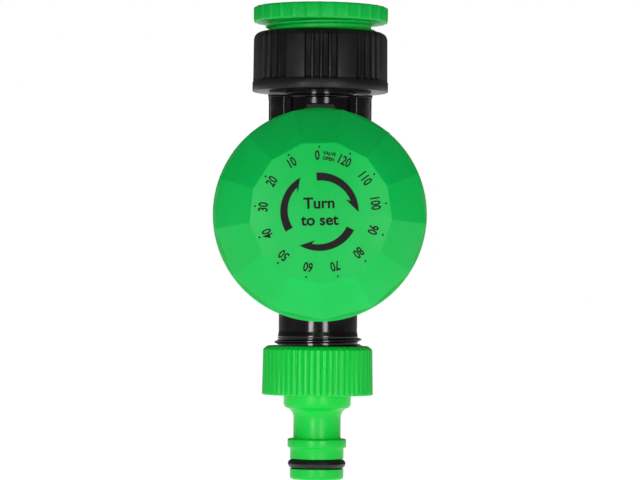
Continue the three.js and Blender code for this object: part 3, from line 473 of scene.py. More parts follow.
dial_green = moulded(
    "dial_green", colour(0, 182, 74), colour(4, 188, 80), 0.34, 0.9, 0.006,
    Specular_IOR_Level=0.24,
)
adaptor_green = moulded(
    "adaptor_green", colour(0, 178, 64), colour(3, 185, 69), 0.38, 0.8, 0.008,
    Specular_IOR_Level=0.3,
)
outlet_green = moulded(
    "outlet_green", colour(0, 200, 60), colour(5, 206, 66), 0.3, 0.9, 0.005,
    Specular_IOR_Level=0.34,
)
nut_black = moulded(
    "nut_black", colour(14, 14, 13), colour(20, 19, 18), 0.36, 0.35, 0.012, 0.16,
    Specular_IOR_Level=0.36,
)
body_black = moulded(
    "body_black", colour(5, 5, 6), colour(9, 9, 10), 0.12, 1.2, 0.005, 0.06,
    Specular_IOR_Level=0.42,
)
housing_black = moulded(
    "housing_black", colour(20, 20, 21), colour(27, 27, 28), 0.4, 0.4, 0.012, 0.14
)
acetal_white = moulded(
    "acetal_white", colour(222, 223, 216), colour(232, 232, 226), 0.42, 0.5, 0.006
)
print("moulded plastics:", [m.name for m in bpy.data.materials])


# %% [markdown]
# Rubber is dull and slightly bloomed, so its roughness is high and a pale dust lies in patches. The
# brass and steel of the movement were turned or pressed, so fine lines run across them.

# %% Rubber, brass, steel and ink
def rubber(name):
    finish = Finish(name, IOR=1.5)
    bloom = finish.between(0.45, 0.75, finish.noise(2.5, 5.0))
    finish.feed("Base Color", finish.blend(bloom, colour(6, 7, 6), colour(14, 17, 14)))
    finish.feed("Roughness", bloom * 0.25 + 0.34)
    finish.bump(finish.noise(0.25, 2.0), 0.01, 0.5)
    return finish.material


def metal(name, shade, worn, gloss):
    finish = Finish(name, Metallic=1.0)
    lines = finish.noise(0.5, 3.0, (1, 14, 1))
    tarnish = finish.between(0.4, 0.75, finish.noise(3.0, 4.0))
    finish.feed("Base Color", finish.blend(tarnish, shade, worn))
    finish.feed("Roughness", tarnish * 0.15 + lines * 0.12 + gloss)
    finish.bump(lines, 0.004, 0.6)
    return finish.material


def ink(name):
    finish = Finish(name, IOR=1.48, Specular_IOR_Level=0.15)
    thin = finish.between(0.5, 0.8, finish.noise(0.35, 3.0))
    finish.feed("Base Color", finish.blend(thin, colour(20, 12, 15), colour(16, 26, 19)))
    finish.feed("Roughness", thin * 0.2 + 0.45)
    finish.bump(thin, 0.004, 0.5)
    return finish.material


black_rubber = rubber("black_rubber")
turned_brass = metal("turned_brass", colour(196, 162, 92), colour(150, 120, 66), 0.22)
turned_steel = metal("turned_steel", colour(178, 180, 184), colour(138, 139, 142), 0.2)
printed_ink = ink("printed_ink")
print(len(bpy.data.materials), "finishes made")


# %% Handing a piece to its body
def belongs(piece, body, slot, finish, *nodes, angle=32):
    """Smooths a piece, gives it a finish, hangs it on its body and hides the solids it replaces."""
    smooth(piece, angle)
    piece.data.materials.clear()
    piece.data.materials.append(finish)
    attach(piece, body)
    if nodes:
        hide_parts(*nodes)
    print(piece.name, len(piece.data.polygons), "faces, rides on", body)
    return piece


# %% [markdown]
# ## The dial
# The dial is a thirteen-sided knob. A straight skirt goes round the clockwork, thirteen sloping
# facets rise from it to a flat face, and a plain round rim runs round the back. It starts as a
# circle with thirteen corners, which is extruded to the front and scaled, so that each facet is
# one flat face. Its edges are then bevelled by a few tenths, and catch a thin line of light.

# %% Dial shell
DIAL_SIDES, DIAL_SET = 13, 1.85
dial_back, dial_front = -dial_high[1], -dial_low[1]
SKIRT_RADIUS, RIM_RADIUS, FACE_RADIUS = 30.69, 31.29, 20.5
skirt_front, rim_front = dial_front - 9.5, dial_back + 2.5
facets = Ribbed("dial_knob", DIAL_SIDES, [0.0], -90 + DIAL_SET)
facets.loop(SKIRT_RADIUS, dial_back + 0.2)
facets.loop(SKIRT_RADIUS, skirt_front)
facets.loop(FACE_RADIUS, dial_front)
leave()
dial = facets.piece
edit(dial)
for level in (dial_back + 0.2, dial_front):
    pick(dial, "VERT", lambda place, facing: abs(place.z - level) < 0.01)
    bpy.ops.mesh.edge_face_add()
leave()
tidy(dial)
rounded(dial, 0.28, 3, lambda place, facing: place.z > rim_front)
rim = turned(
    "dial_rim",
    [(0, dial_back)]
    + corner(RIM_RADIUS - 0.35, dial_back + 0.35, 0.35, -90, 0, 3)
    + corner(RIM_RADIUS - 0.6, rim_front - 0.6, 0.6, 0, 90, 4)
    + [(0, rim_front)],
    156,
)
combine(dial, rim, "UNION")
print("dial shell", len(dial.data.polygons), "faces")

# %% [markdown]
# The shell is hollow. Its inside is a round bore that slides over the clockwork housing, with a
# cone behind the facets, a hub that takes the flatted shaft, and six ribs that stiffen the face.

# %% Dial hollow
HOLLOW_RADIUS, FACE_WALL, HUB_RADIUS = 28.0, 2.0, 4.2
ceiling = dial_front - FACE_WALL
hollow = turned(
    "hollow",
    [
        (0, dial_back - 1),
        (HOLLOW_RADIUS + 0.4, dial_back - 1),
        (HOLLOW_RADIUS + 0.4, dial_back),
        (HOLLOW_RADIUS, dial_back + 0.4),
        (HOLLOW_RADIUS, skirt_front - 0.8),
        (18.2, ceiling),
        (0, ceiling),
    ],
    117,
)
combine(dial, hollow, "DIFFERENCE")
hub = disc("hub", HUB_RADIUS, skirt_front, ceiling + 1)
rib_bar = block("rib", (3.4, -0.6, ceiling - 3.5), (17.6, 0.6, ceiling + 1))
for turn in range(6):
    combine(hub, copied(rib_bar, "spoke", turn=60 * turn), "UNION")
bpy.data.objects.remove(rib_bar)
combine(dial, hub, "UNION")
shaft = disc("shaft_hole", 2.1, skirt_front - 1, ceiling - 0.3, 32)
flat = block("flat", (-3, 1.4, skirt_front - 2), (3, 4, dial_front))
combine(shaft, flat, "DIFFERENCE")
combine(dial, shaft, "DIFFERENCE")
turn_to_front(tidy(dial), DIAL_Z)
belongs(dial, "dial_and_arbor", "green_plastic", dial_green, "dial", angle=20)

# %% [markdown]
# ## The print on the dial
# The minutes run counter-clockwise from 0 to 120, with a dot beside each, because the dial turns
# clockwise past a fixed pointer. Three curved arrows show which way to turn it. Everything is
# printed in dark ink, a few hundredths thick, so it is made as flat shapes with a little thickness.

# %% Numbers and words
INK = 0.03
PRINT_BACK = dial_front - 0.01
print_parts = []


def lettering(text, size, radius, degrees, width, weight, shift=(0.0, 0.0)):
    """Text on the face, its top outwards, at an angle counter-clockwise from the top."""
    bpy.ops.object.text_add()
    words = bpy.context.object
    words.data.body, words.data.size = text, size * MM
    words.data.align_x, words.data.align_y = "CENTER", "CENTER"
    words.data.extrude, words.data.offset = INK / 2 * MM, weight * MM
    words.data.resolution_u = 4
    only(words)
    bpy.ops.object.convert(target="MESH")
    piece = named("print_" + "".join(c for c in text if c.isalnum()))
    turn = math.radians(degrees)
    piece.scale = (width, 1, 1)
    piece.rotation_euler[2] = turn
    piece.location = (
        (shift[0] - radius * math.sin(turn)) * MM,
        (shift[1] + radius * math.cos(turn)) * MM,
        (PRINT_BACK + INK / 2) * MM,
    )
    bpy.ops.object.transform_apply(location=True, rotation=True, scale=True)
    print_parts.append(tidy(piece))


MINUTE_STEP, NUMBER_RING, NUMBER_LEAD, PRINT_SHIFT = 27.68, 16.0, 0.9, (-0.33, 0.28)
for step in range(13):
    angle = MINUTE_STEP * step + NUMBER_LEAD
    lettering(str(10 * step), 3.75, NUMBER_RING, angle, 0.72, 0.1, PRINT_SHIFT)
for text, radius in (("VALVE", 16.75), ("OPEN", 15.25)):
    lettering(text, 1.35, radius, -11.0, 0.95, 0.06, PRINT_SHIFT)
for text, height in (("Turn", 2.6), ("to set", -2.2)):
    lettering(text, 4.4, 0, 0, 1.02, 0.12, (PRINT_SHIFT[0], height))
print(len(print_parts), "printed labels")


# %% Dots and arrows
def flat_shape(name, outline):
    """A closed flat outline of (x, y) points, filled and given the ink's thickness."""
    piece = drawn(name, [(x, y, PRINT_BACK) for x, y in outline])
    bpy.ops.mesh.select_all(action="SELECT")
    bpy.ops.mesh.edge_face_add()
    bpy.ops.mesh.extrude_region_move(TRANSFORM_OT_translate={"value": (0, 0, INK * MM)})
    leave()
    print_parts.append(tidy(piece))


def around(radius, degrees):
    return radius * math.cos(math.radians(degrees)), radius * math.sin(math.radians(degrees))


DOT_RING, DOT_RADIUS = 18.8, 0.3
for step in range(13):
    bpy.ops.mesh.primitive_cylinder_add(vertices=12, radius=DOT_RADIUS * MM, depth=INK * MM)
    dot = named("print_dot")
    x, y = around(DOT_RING, 90 + MINUTE_STEP * step)
    print_parts.append(placed(dot, (x, y, PRINT_BACK + INK / 2)))

ARROW_OUTER, ARROW_TAIL, ARROW_NECK, BARB_RADIUS = 11.2, 8.85, 9.4, 8.2
for tail, tip, barb in ((93.5, -1.9, 24.0), (-29.4, -122.0, -99.0), (-150.5, -242.0, -222.0)):
    shares = [i / 14 for i in range(15)]
    outer = [around(ARROW_OUTER, tail + (tip - tail) * share) for share in shares]
    neck = barb - 6.0
    inner = [
        around(ARROW_TAIL + (ARROW_NECK - ARROW_TAIL) * share, tail + (neck - tail) * share)
        for share in shares
    ]
    outline = outer + [around(BARB_RADIUS, barb)] + inner[::-1]
    flat_shape("print_arrow", [(x + PRINT_SHIFT[0], y + PRINT_SHIFT[1]) for x, y in outline])
only(print_parts[0])
for part in print_parts:
    part.select_set(True)
bpy.ops.object.join()
dial_print = named("dial_print")
turn_to_front(placed(dial_print, turn=DIAL_SET), DIAL_Z)
belongs(dial_print, "dial_and_arbor", "black_plastic", printed_ink)

# %% [markdown]
# ## The swivel nut
# The nut turns on the valve body's flange and pulls the adaptor down on its washer. Eight panels of
# four flat grooves give fingers a grip, and a plain band runs round the bottom. One circle carries
# the whole pattern: corners that lie in a groove are drawn in, and the loop is raised to the top,
# over the rounded shoulder, down the threaded bore and back out along the floor.

# %% Swivel nut
NUT_RADIUS, BAND_RADIUS, GROOVE_DEPTH = 20.15, 20.35, 0.8
NUT_BORE, NUT_HOLE, NUT_FLOOR = 16.97, 10.8, 2.6
nut_bottom, nut_top = nut_low[2], nut_high[2]
band_top = nut_bottom + 3.0


def nut_groove(degrees):
    """How deep the grip is cut, at an angle from the middle of a panel."""
    nearest = min(abs(degrees - middle) for middle in (-11.25, -3.75, 3.75, 11.25))
    for limit, share in ((2.1, 1.0), (2.4, 0.85), (2.7, 0.4), (2.95, 0.1)):
        if nearest < limit:
            return share * GROOVE_DEPTH
    return 0.0


nut_pattern = [nut_groove((i * 0.375 + 22.5) % 45 - 22.5) for i in range(120)]
nut = Ribbed("inlet_swivel_nut_body", 8, nut_pattern, -90)
for radius, height, share in (
    (BAND_RADIUS - 0.45, nut_bottom, 0),
    (BAND_RADIUS - 0.12, nut_bottom + 0.12, 0),
    (BAND_RADIUS, nut_bottom + 0.4, 0),
    (BAND_RADIUS, band_top - 0.2, 0),
    (BAND_RADIUS - 0.1, band_top, 0),
    (NUT_RADIUS + 0.02, band_top + 0.15, 0.1),
    (NUT_RADIUS, band_top + 0.45, 0.75),
    (NUT_RADIUS, band_top + 0.9, 1),
    (NUT_RADIUS - 0.1, nut_top - 2.2, 1),
    (NUT_RADIUS - 0.35, nut_top - 1.3, 1),
    (NUT_RADIUS - 0.9, nut_top - 0.62, 0.9),
    (NUT_RADIUS - 1.7, nut_top - 0.2, 0.5),
    (NUT_RADIUS - 2.5, nut_top, 0.1),
    (NUT_BORE + 0.35, nut_top, 0),
    (NUT_BORE, nut_top - 0.35, 0),
    (NUT_BORE, nut_bottom + NUT_FLOOR, 0),
    (NUT_HOLE, nut_bottom + NUT_FLOOR, 0),
    (NUT_HOLE, nut_bottom + 0.3, 0),
    (NUT_HOLE + 0.3, nut_bottom, 0),
    (BAND_RADIUS - 0.45, nut_bottom, 0),
):
    nut.loop(radius, height, share)
swivel_nut = nut.finish()
nut_thread = thread("nut_thread", NUT_BORE, 15.52, 2.309, 1.35, 0.35, nut_top - 5.2, 1.8)
combine(swivel_nut, nut_thread, "UNION")
belongs(swivel_nut, "swivel_nut", "black_plastic", nut_black, "inlet_swivel_nut", angle=28)

# %% [markdown]
# ## The tap adaptor
# The green adaptor has a rim with thirty narrow ridges to grip, a male thread that the nut holds,
# and a female thread for the tap. Its rim is raised from a circle in the same way as the nut.

# %% Tap adaptor
RIM_EDGE, SOCKET, ADAPTOR_ROOT, ADAPTOR_BORE = 20.25, 13.64, 15.1, 8.0
rim_top, tube_end = adaptor_high[2], adaptor_low[2]
rim_under = rim_top - 4.8
LEDGE = -2.3
ridge = [0.0, 0.25, 0.42] + [0.45] * 7 + [0.42, 0.25]
adaptor = Ribbed("tap_adaptor", 30, ridge, -91)
for radius, height, share in (
    (ADAPTOR_ROOT, rim_under, 0),
    (RIM_EDGE - 0.9, rim_under, 0.6),
    (RIM_EDGE - 0.35, rim_under + 0.12, 0.9),
    (RIM_EDGE - 0.05, rim_under + 0.55, 1),
    (RIM_EDGE, rim_top - 0.75, 1),
    (RIM_EDGE - 0.2, rim_top - 0.3, 1),
    (RIM_EDGE - 0.7, rim_top, 0.8),
    (RIM_EDGE - 2.2, rim_top, 0),
    (RIM_EDGE - 2.5, rim_top - 0.3, 0),
    (SOCKET + 1.5, rim_top - 0.3, 0),
    (SOCKET + 1.2, rim_top, 0),
    (SOCKET + 0.4, rim_top, 0),
    (SOCKET, rim_top - 0.4, 0),
    (SOCKET, LEDGE, 0),
    (ADAPTOR_BORE, LEDGE, 0),
    (ADAPTOR_BORE, tube_end, 0),
    (ADAPTOR_ROOT - 0.6, tube_end, 0),
    (ADAPTOR_ROOT, tube_end + 0.6, 0),
    (ADAPTOR_ROOT, rim_under, 0),
):
    adaptor.loop(radius, height, share)
tap_adaptor = adaptor.finish()
outer_thread = thread(
    "outer_thread", ADAPTOR_ROOT, 16.5, 2.309, 1.5, 0.35, rim_under - 9.26, 3.97
)
inner_thread = thread("inner_thread", SOCKET, 12.5, 1.814, 1.15, 0.3, rim_top - 6.2, 2.8)
combine(tap_adaptor, outer_thread, "UNION")
combine(tap_adaptor, inner_thread, "UNION")
belongs(tap_adaptor, "adaptor", "deep_green_plastic", adaptor_green, "inlet_adaptor", angle=28)

# %% [markdown]
# ## Filter and washer
# A domed plastic screen keeps grit out of the valve. It sits inside a rubber washer that seals on
# the tap. The screen is a wire grid: a flat grid is cut round, domed by wrapping it on a ball, and
# given its wires by the Wireframe modifier. The wires' ends are sunk in a turned ring.

# %% Filter screen and washer
SCREEN_RADIUS, SCREEN_RIM, DOME = 8.25, 9.2, 1.4
screen_low = LEDGE + 0.1
ball_radius = (SCREEN_RADIUS**2 + DOME**2) / (2 * DOME)
bpy.ops.mesh.primitive_grid_add(x_subdivisions=24, y_subdivisions=24, size=17.6 * MM)
screen = named("filter_screen")
bpy.ops.mesh.primitive_uv_sphere_add(
    segments=96,
    ring_count=96,
    radius=ball_radius * MM,
    location=(0, 0, (screen_low + 0.25 + DOME - ball_radius) * MM),
)
ball = named("ball")
edit(screen)
pick(screen, "FACE", lambda place, facing: math.hypot(place.x, place.y) > SCREEN_RADIUS)
bpy.ops.mesh.delete(type="FACE")
bpy.ops.mesh.select_all(action="SELECT")
bpy.ops.transform.translate(value=(0, 0, 4 * MM))
leave()
for kind in ("SHRINKWRAP", "WIREFRAME"):
    change = screen.modifiers.new(kind, kind)
    if kind == "SHRINKWRAP":
        change.target, change.wrap_method = ball, "PROJECT"
        change.use_project_z, change.use_negative_direction = True, True
    else:
        change.thickness, change.use_replace = 0.22 * MM, True
    only(screen)
    bpy.ops.object.modifier_apply(modifier=change.name)
bpy.data.objects.remove(ball)
screen_ring = turned(
    "screen_ring",
    [
        (SCREEN_RADIUS - 0.5, screen_low),
        (SCREEN_RIM - 0.1, screen_low),
        (SCREEN_RIM, screen_low + 0.1),
        (SCREEN_RIM, screen_low + 0.4),
        (SCREEN_RIM - 0.1, screen_low + 0.5),
        (SCREEN_RADIUS - 0.4, screen_low + 0.55),
        (SCREEN_RADIUS - 0.6, screen_low + 0.4),
        (SCREEN_RADIUS - 0.5, screen_low),
    ],
)
only(screen_ring)
screen.select_set(True)
bpy.ops.object.join()
belongs(screen_ring, "filter", "white_plastic", acetal_white, "inlet_filter_mesh")
washer = turned(
    "filter_washer",
    [(9.3, -2.0), (9.5, -2.2), (12.0, -2.2), (12.2, -2.0), (12.2, -0.2), (12.0, 0.0)]
    + [(10.9, 0.0), (10.75, -0.12), (10.6, 0.0), (9.5, 0.0), (9.3, -0.2), (9.3, -2.0)],
)
belongs(washer, "filter", "black_rubber", black_rubber, "inlet_filter_washer")

# %% [markdown]
# ## The valve body
# The valve body is one black moulding. A neck comes down from the nut between two flat wings, a
# block holds the valve, a round disc carries the clockwork, and a threaded tube leads out below.
# Each part is shaped by itself, with its edges rounded, and all are joined. A small rounded lip
# goes round the neck where the wings end. The water ways are then cut out of the whole, as the
# mould's cores do.

# %% Body outside
NECK_RADIUS, WING_HALF, TUBE_RADIUS, OUTLET_ROOT = 10.15, 15.35, 11.75, 12.06
VALVE_Z, WING_TOP = CAP_Z, -16.7
BLOCK_TOP, BLOCK_BOTTOM = VALVE_Z + 16, VALVE_Z - 17
DISC_RADIUS, DISC_BACK, DISC_FRONT = 29.5, 9.0, 13.0
THREAD_TOP, spigot_end = -88.8, body_low[2]
body = turned(
    "valve_body_shell",
    [(0, BLOCK_TOP - 2), (NECK_RADIUS, BLOCK_TOP - 2), (NECK_RADIUS, WING_TOP - 1.0)]
    + corner(NECK_RADIUS + 0.4, WING_TOP - 0.5, 0.45, -90, 90, 6)
    + [(NECK_RADIUS, WING_TOP + 0.05), (NECK_RADIUS, -14.6)]
    + corner(NECK_RADIUS + 1.5, -14.5, 1.5, 180, 90, 5)
    + [(14.5, -13.0), (14.8, -12.7), (14.8, -10.7), (14.5, -10.4), (0, -10.4)],
    128,
)


def upright(place, facing):
    return abs(facing.z) > 0.9


wings = block("wings", (-WING_HALF, -5, BLOCK_TOP - 2), (WING_HALF, 12, WING_TOP))
rounded(wings, 0.5, 4, upright)
rounded(wings, 0.3, 3, lambda place, facing: place.z > WING_TOP - 0.01)
lip = block(
    "lip", (-WING_HALF - 0.22, -5.22, WING_TOP - 0.95), (WING_HALF + 0.22, 12.2, WING_TOP)
)
rounded(lip, 0.6, 4, upright)
rounded(lip, 0.2, 3, lambda place, facing: abs(facing.z) < 0.1)
combine(wings, lip, "UNION")
combine(body, wings, "UNION")
for side in (-1, 1):
    bead = disc("bead", 0.42, BLOCK_TOP - 1, WING_TOP - 0.7, 24)
    combine(body, placed(bead, (side * 10.85, -4.95, 0)), "UNION")
core = block("core", (-WING_HALF, -9, BLOCK_BOTTOM), (WING_HALF, 15, BLOCK_TOP))
rounded(core, 2.0, 6, upright)
rounded(core, 0.4, 3, lambda place, facing: abs(facing.z) < 0.1)
combine(body, core, "UNION")
carrier = turned(
    "carrier",
    [(0, DISC_BACK), (DISC_RADIUS - 0.5, DISC_BACK)]
    + corner(DISC_RADIUS - 0.5, DISC_BACK + 0.5, 0.5, -90, 0, 4)
    + corner(DISC_RADIUS - 0.3, DISC_FRONT - 0.3, 0.3, 0, 90, 3)
    + [(0, DISC_FRONT)],
    160,
)
combine(body, turn_to_front(carrier, DIAL_Z), "UNION")
tube = turned(
    "outlet_tube",
    [(0, spigot_end), (OUTLET_ROOT - 0.5, spigot_end), (OUTLET_ROOT, spigot_end + 0.5)]
    + [(OUTLET_ROOT, THREAD_TOP - 0.6)]
    + [(TUBE_RADIUS + 0.2, THREAD_TOP - 0.45), (TUBE_RADIUS + 0.25, THREAD_TOP - 0.2)]
    + [(TUBE_RADIUS + 0.18, THREAD_TOP + 0.35), (TUBE_RADIUS + 0.02, THREAD_TOP + 1.2)]
    + [(TUBE_RADIUS, THREAD_TOP + 1.6), (TUBE_RADIUS, BLOCK_BOTTOM + 2), (0, BLOCK_BOTTOM + 2)],
    128,
)
combine(body, tube, "UNION")
male = thread("male_thread", OUTLET_ROOT, 13.2, 1.814, 1.25, 0.25, THREAD_TOP - 10.02, 5.15)
combine(body, male, "UNION")
for z in (BLOCK_TOP - 4, BLOCK_BOTTOM + 4):
    for side in (-1, 1):
        web = block("web", (side * 17 - 1.6, 8.0, z - 0.7), (side * 17 + 1.6, 12, z + 0.7))
        combine(body, web, "UNION")
print("valve body outside", len(body.data.polygons), "faces")

# %% [markdown]
# Water comes down the neck into the front chamber, passes the seat when the poppet is pushed off
# it, and leaves from the rear chamber down the outlet tube. Four holes take the rear cap's screws,
# and four more hold the clockwork to the disc.

# %% Water ways and screw holes
def bore(radius, back, front, height, steps=64):
    """A level round cutter from one depth to another, depths growing towards the reader."""
    cutter = disc("bore", radius, back, front, steps)
    return turn_to_front(cutter, height)


cap_screws = [(x * 11.498, y * 11.498) for x, y in ((1, 1), (-1, 1), (-1, -1), (1, -1))]
HOUSING_RING, SCREW_HOLE = 27.0, 1.15
housing_screws = [around(HOUSING_RING, 45 + 90 * i) for i in range(4)]
cutters = [
    bore(10.0, -16, -1.5, VALVE_Z),
    bore(5.5, -2.5, 2.5, VALVE_Z),
    bore(7.0, 1.5, DISC_FRONT + 1, VALVE_Z),
    disc("inlet_way", 7.5, -40, -9),
    block("inlet_slot", (-5.5, -7.3, VALVE_Z + 3), (5.5, -2.5, -38)),
    disc("outlet_way", 8.5, spigot_end - 1, BLOCK_BOTTOM),
    block("outlet_slot", (-5, 2.0, BLOCK_BOTTOM - 2), (5, 7.5, VALVE_Z - 2)),
]
screw_rows = ((cap_screws, -16, -6.5, VALVE_Z), (housing_screws, 8, 14, DIAL_Z))
for places, low, high, height in screw_rows:
    for x, y in places:
        hole = placed(disc("screw_hole", SCREW_HOLE, low, high, 20), (x, y, 0))
        cutters.append(turn_to_front(hole, height))
for cutter in cutters:
    combine(body, cutter, "DIFFERENCE")
belongs(tidy(body), "body", "black_plastic", body_black, "valve_body", angle=30)

# %% [markdown]
# ## Rear cap and screws
# The valve's service cover is a rounded square plate with a raised ring and a plug that fills the
# chamber. Its four cross-head screws are turned once, slotted once and copied.

# %% Rear cap
cap_back, cap_front = cap_high[1], cap_high[1] - 3.4
half = cap_high[0]
cap = block("rear_cap_plate", (-half, -half, -cap_back), (half, half, -cap_front))
rounded(cap, 4.0, 8, upright)
rounded(cap, 0.6, 4, lambda place, facing: place.z < -cap_back + 0.01)
plug = turned(
    "plug",
    [(0, -cap_back + 1), (9.8, -cap_back + 1), (9.8, -13.9), (8.3, -13.9), (8.3, -12.2)]
    + [(9.8, -12.2), (9.8, -12.0), (4.2, -12.0), (4.0, -11.1), (0, -11.1)],
)
boss = turned(
    "boss",
    [(0, -cap_back), (5.9, -cap_back), (6.4, -cap_back - 0.15)]
    + corner(7.4, -cap_back + 0.15, 0.3, -120, 0, 4)
    + [(7.7, -cap_back + 1), (0, -cap_back + 1)],
)
combine(cap, plug, "UNION")
combine(cap, boss, "UNION")
for x, y in cap_screws:
    for radius, high in ((SCREW_HOLE, -cap_front + 1), (2.45, -cap_back + 0.15)):
        hole = placed(disc("hole", radius, -cap_back - 1, high, 32), (x, y, 0))
        combine(cap, hole, "DIFFERENCE")
turn_to_front(tidy(cap), CAP_Z)
belongs(cap, "body", "black_plastic", housing_black, "rear_cap", angle=30)


# %% Screws
def cross_head(name, length):
    """A pan-head screw whose shank points along +Z and whose head hangs below z = 0."""
    ridges = []
    turns = int((length - 1.6) / 0.7)
    for i in range(turns):
        ridges += [(0.8, 1.2 + 0.7 * i), (1.05, 1.45 + 0.7 * i), (1.05, 1.5 + 0.7 * i)]
    screw = turned(
        name,
        [(0, -1.5), (1.0, -1.48), (1.6, -1.25), (2.0, -0.8), (2.2, -0.3), (2.2, 0.0)]
        + [(1.0, 0.0), (1.0, 0.9)]
        + ridges
        + [(0.8, length - 0.5), (0.0, length)],
        40,
    )
    for quarter in (0, 90):
        blade = block("blade", (-1.25, -0.24, -2), (1.25, 0.24, -0.75))
        edit(blade)
        pick(blade, "VERT", lambda place, facing: place.z > -1)
        bpy.ops.transform.resize(value=(0.5, 1, 1), center_override=(0, 0, -0.75 * MM))
        leave()
        combine(screw, placed(blade, turn=quarter), "DIFFERENCE")
    return screw


for length, places, height, seat, label in (
    (11.0, cap_screws, CAP_Z, -cap_back - 0.1, "rear_cap_screw_"),
    (10.0, housing_screws, DIAL_Z, DISC_BACK - 0.1, "housing_screw_"),
):
    pattern = cross_head("screw_pattern", length)
    for number, (x, y) in enumerate(places, 1):
        screw = copied(pattern, label + str(number) + "_turned", (x, y, seat))
        turn_to_front(screw, height)
        belongs(screw, "body", "steel", turned_steel, label + str(number))
    bpy.data.objects.remove(pattern)

# %% [markdown]
# ## Clockwork housing
# The housing is a round can with a flange that is screwed to the body's disc. A small tab on the
# flange stands up above the dial: it is the pointer that the minutes are read against.

# %% Housing with its pointer
CAN_RADIUS, CAN_WALL, BOSS_RADIUS = 26.8, 2.0, 2.4
can_back, can_front = -housing_high[1], -housing_low[1]
flange_front = can_back + 2.5
housing = turned(
    "clockwork_housing",
    [(CAN_RADIUS - CAN_WALL, can_back), (DISC_RADIUS - 0.3, can_back)]
    + [(DISC_RADIUS, can_back + 0.3)]
    + corner(DISC_RADIUS - 0.5, flange_front - 0.5, 0.5, 0, 90, 4)
    + corner(CAN_RADIUS + 0.6, flange_front + 0.6, 0.6, -90, -180, 4)
    + corner(CAN_RADIUS - 1.2, can_front - 1.2, 1.2, 0, 90, 6)
    + [(2.15, can_front), (2.15, can_front - CAN_WALL)]
    + [(CAN_RADIUS - CAN_WALL, can_front - CAN_WALL), (CAN_RADIUS - CAN_WALL, can_back)],
    160,
)
tab_outline = [(-5.6, 25.6), (5.6, 25.6), (4.9, 31.3), (4.0, 33.2), (-4.0, 33.2), (-4.9, 31.3)]
tab = drawn("pointer", [(x, y, can_back) for x, y in tab_outline])
bpy.ops.mesh.select_all(action="SELECT")
bpy.ops.mesh.edge_face_add()
lift = Vector((0, 0, flange_front - can_back)) * MM
bpy.ops.mesh.extrude_region_move(TRANSFORM_OT_translate={"value": lift})
leave()
rounded(tidy(tab), 0.5, 4, lambda place, facing: place.y > 29 and abs(facing.z) < 0.9)
tab_hollow = turned("tab_hollow", [(0, 0), (CAN_RADIUS - 1, 0), (CAN_RADIUS - 1, 20), (0, 20)], 96)
combine(tab, tab_hollow, "DIFFERENCE")
combine(housing, tab, "UNION")
for x, y in housing_screws:
    for radius, low, high, how in (
        (BOSS_RADIUS, can_back + 0.5, can_back + 8.4, "UNION"),
        (SCREW_HOLE, can_back - 1, DISC_BACK + 10.5, "DIFFERENCE"),
    ):
        combine(housing, placed(disc("boss_tool", radius, low, high, 32), (x, y, 0)), how)
turn_to_front(tidy(housing), DIAL_Z)
belongs(housing, "body", "black_plastic", housing_black, "timer_housing", angle=30)

# %% [markdown]
# ## Outlet connector
# The outlet is one green moulding: a ribbed collar that screws on the body's thread, and a nipple
# with a groove for its sealing ring that snaps into a hose coupling. The collar's ribs are rounded,
# and die out in a chamfer at the top. The nipple is a plain turned shape.

# %% Ribbed collar
COLLAR_RADIUS, COLLAR_SOCKET, COLLAR_WEB = 16.5, 13.64, 2.5
collar_top = outlet_high[2]
collar_bottom = collar_top - 14.7
web_top = collar_bottom + COLLAR_WEB
rib = [0.0, 0.02, 0.05, 0.12, 0.3, 0.42, 0.3, 0.12, 0.05, 0.02]
collar = Ribbed("collar", 54, rib, -90)
for radius, height, share in (
    (9.0, collar_bottom, 0),
    (COLLAR_RADIUS - 0.15, collar_bottom, 0.2),
    (COLLAR_RADIUS + 0.12, collar_bottom + 0.2, 0.6),
    (COLLAR_RADIUS + 0.2, collar_bottom + 0.5, 0.8),
    (COLLAR_RADIUS + 0.12, collar_bottom + 1.1, 1),
    (COLLAR_RADIUS - 0.1, collar_top - 1.2, 1),
    (COLLAR_RADIUS - 0.3, collar_top - 0.9, 1),
    (COLLAR_RADIUS - 0.8, collar_top - 0.5, 0.6),
    (COLLAR_RADIUS - 1.35, collar_top - 0.1, 0.1),
    (COLLAR_RADIUS - 1.65, collar_top, 0),
    (COLLAR_SOCKET + 0.3, collar_top, 0),
    (COLLAR_SOCKET, collar_top - 0.3, 0),
    (COLLAR_SOCKET, web_top, 0),
    (9.0, web_top, 0),
    (9.0, collar_bottom, 0),
):
    collar.loop(radius, height, share)
collar_ring = collar.finish()

# %% Hose nipple
ridge_top, ridge_end = collar_bottom - 13.1, collar_bottom - 15.8
ring_middle = collar_bottom - 20.55
tip_end = outlet_low[2]
nipple = turned(
    "outlet_connector_shell",
    [(0, web_top - 0.6), (10.1, web_top - 0.6), (10.1, collar_bottom - 2.9)]
    + corner(9.7, collar_bottom - 2.9, 0.4, 0, -75, 4)
    + corner(10.25, collar_bottom - 6.8, 3.15, 100, 180, 9)
    + [(7.1, ridge_top + 0.35)]
    + corner(7.45, ridge_top + 0.35, 0.35, 180, 270, 3)
    + corner(8.35, ridge_top - 0.45, 0.45, 90, 0, 5)
    + corner(8.35, ridge_end + 0.45, 0.45, 0, -90, 5)
    + corner(8.3, ridge_end - 0.25, 0.25, 90, 180, 3)
    + [(8.05, ring_middle + 1.6), (7.95, ring_middle + 1.5), (5.9, ring_middle + 1.5)]
    + [(5.9, ring_middle - 1.5), (7.95, ring_middle - 1.5), (8.05, ring_middle - 1.6)]
    + corner(7.05, tip_end + 1.0, 1.0, 0, -90, 6)
    + [(0, tip_end)],
    144,
)
combine(nipple, collar_ring, "UNION")
bore_out = turned(
    "bore_out",
    [(0, tip_end - 1), (5.0, tip_end - 1), (5.0, tip_end), (4.6, tip_end + 0.4), (4.6, web_top + 1)]
    + [(0, web_top + 1)],
)
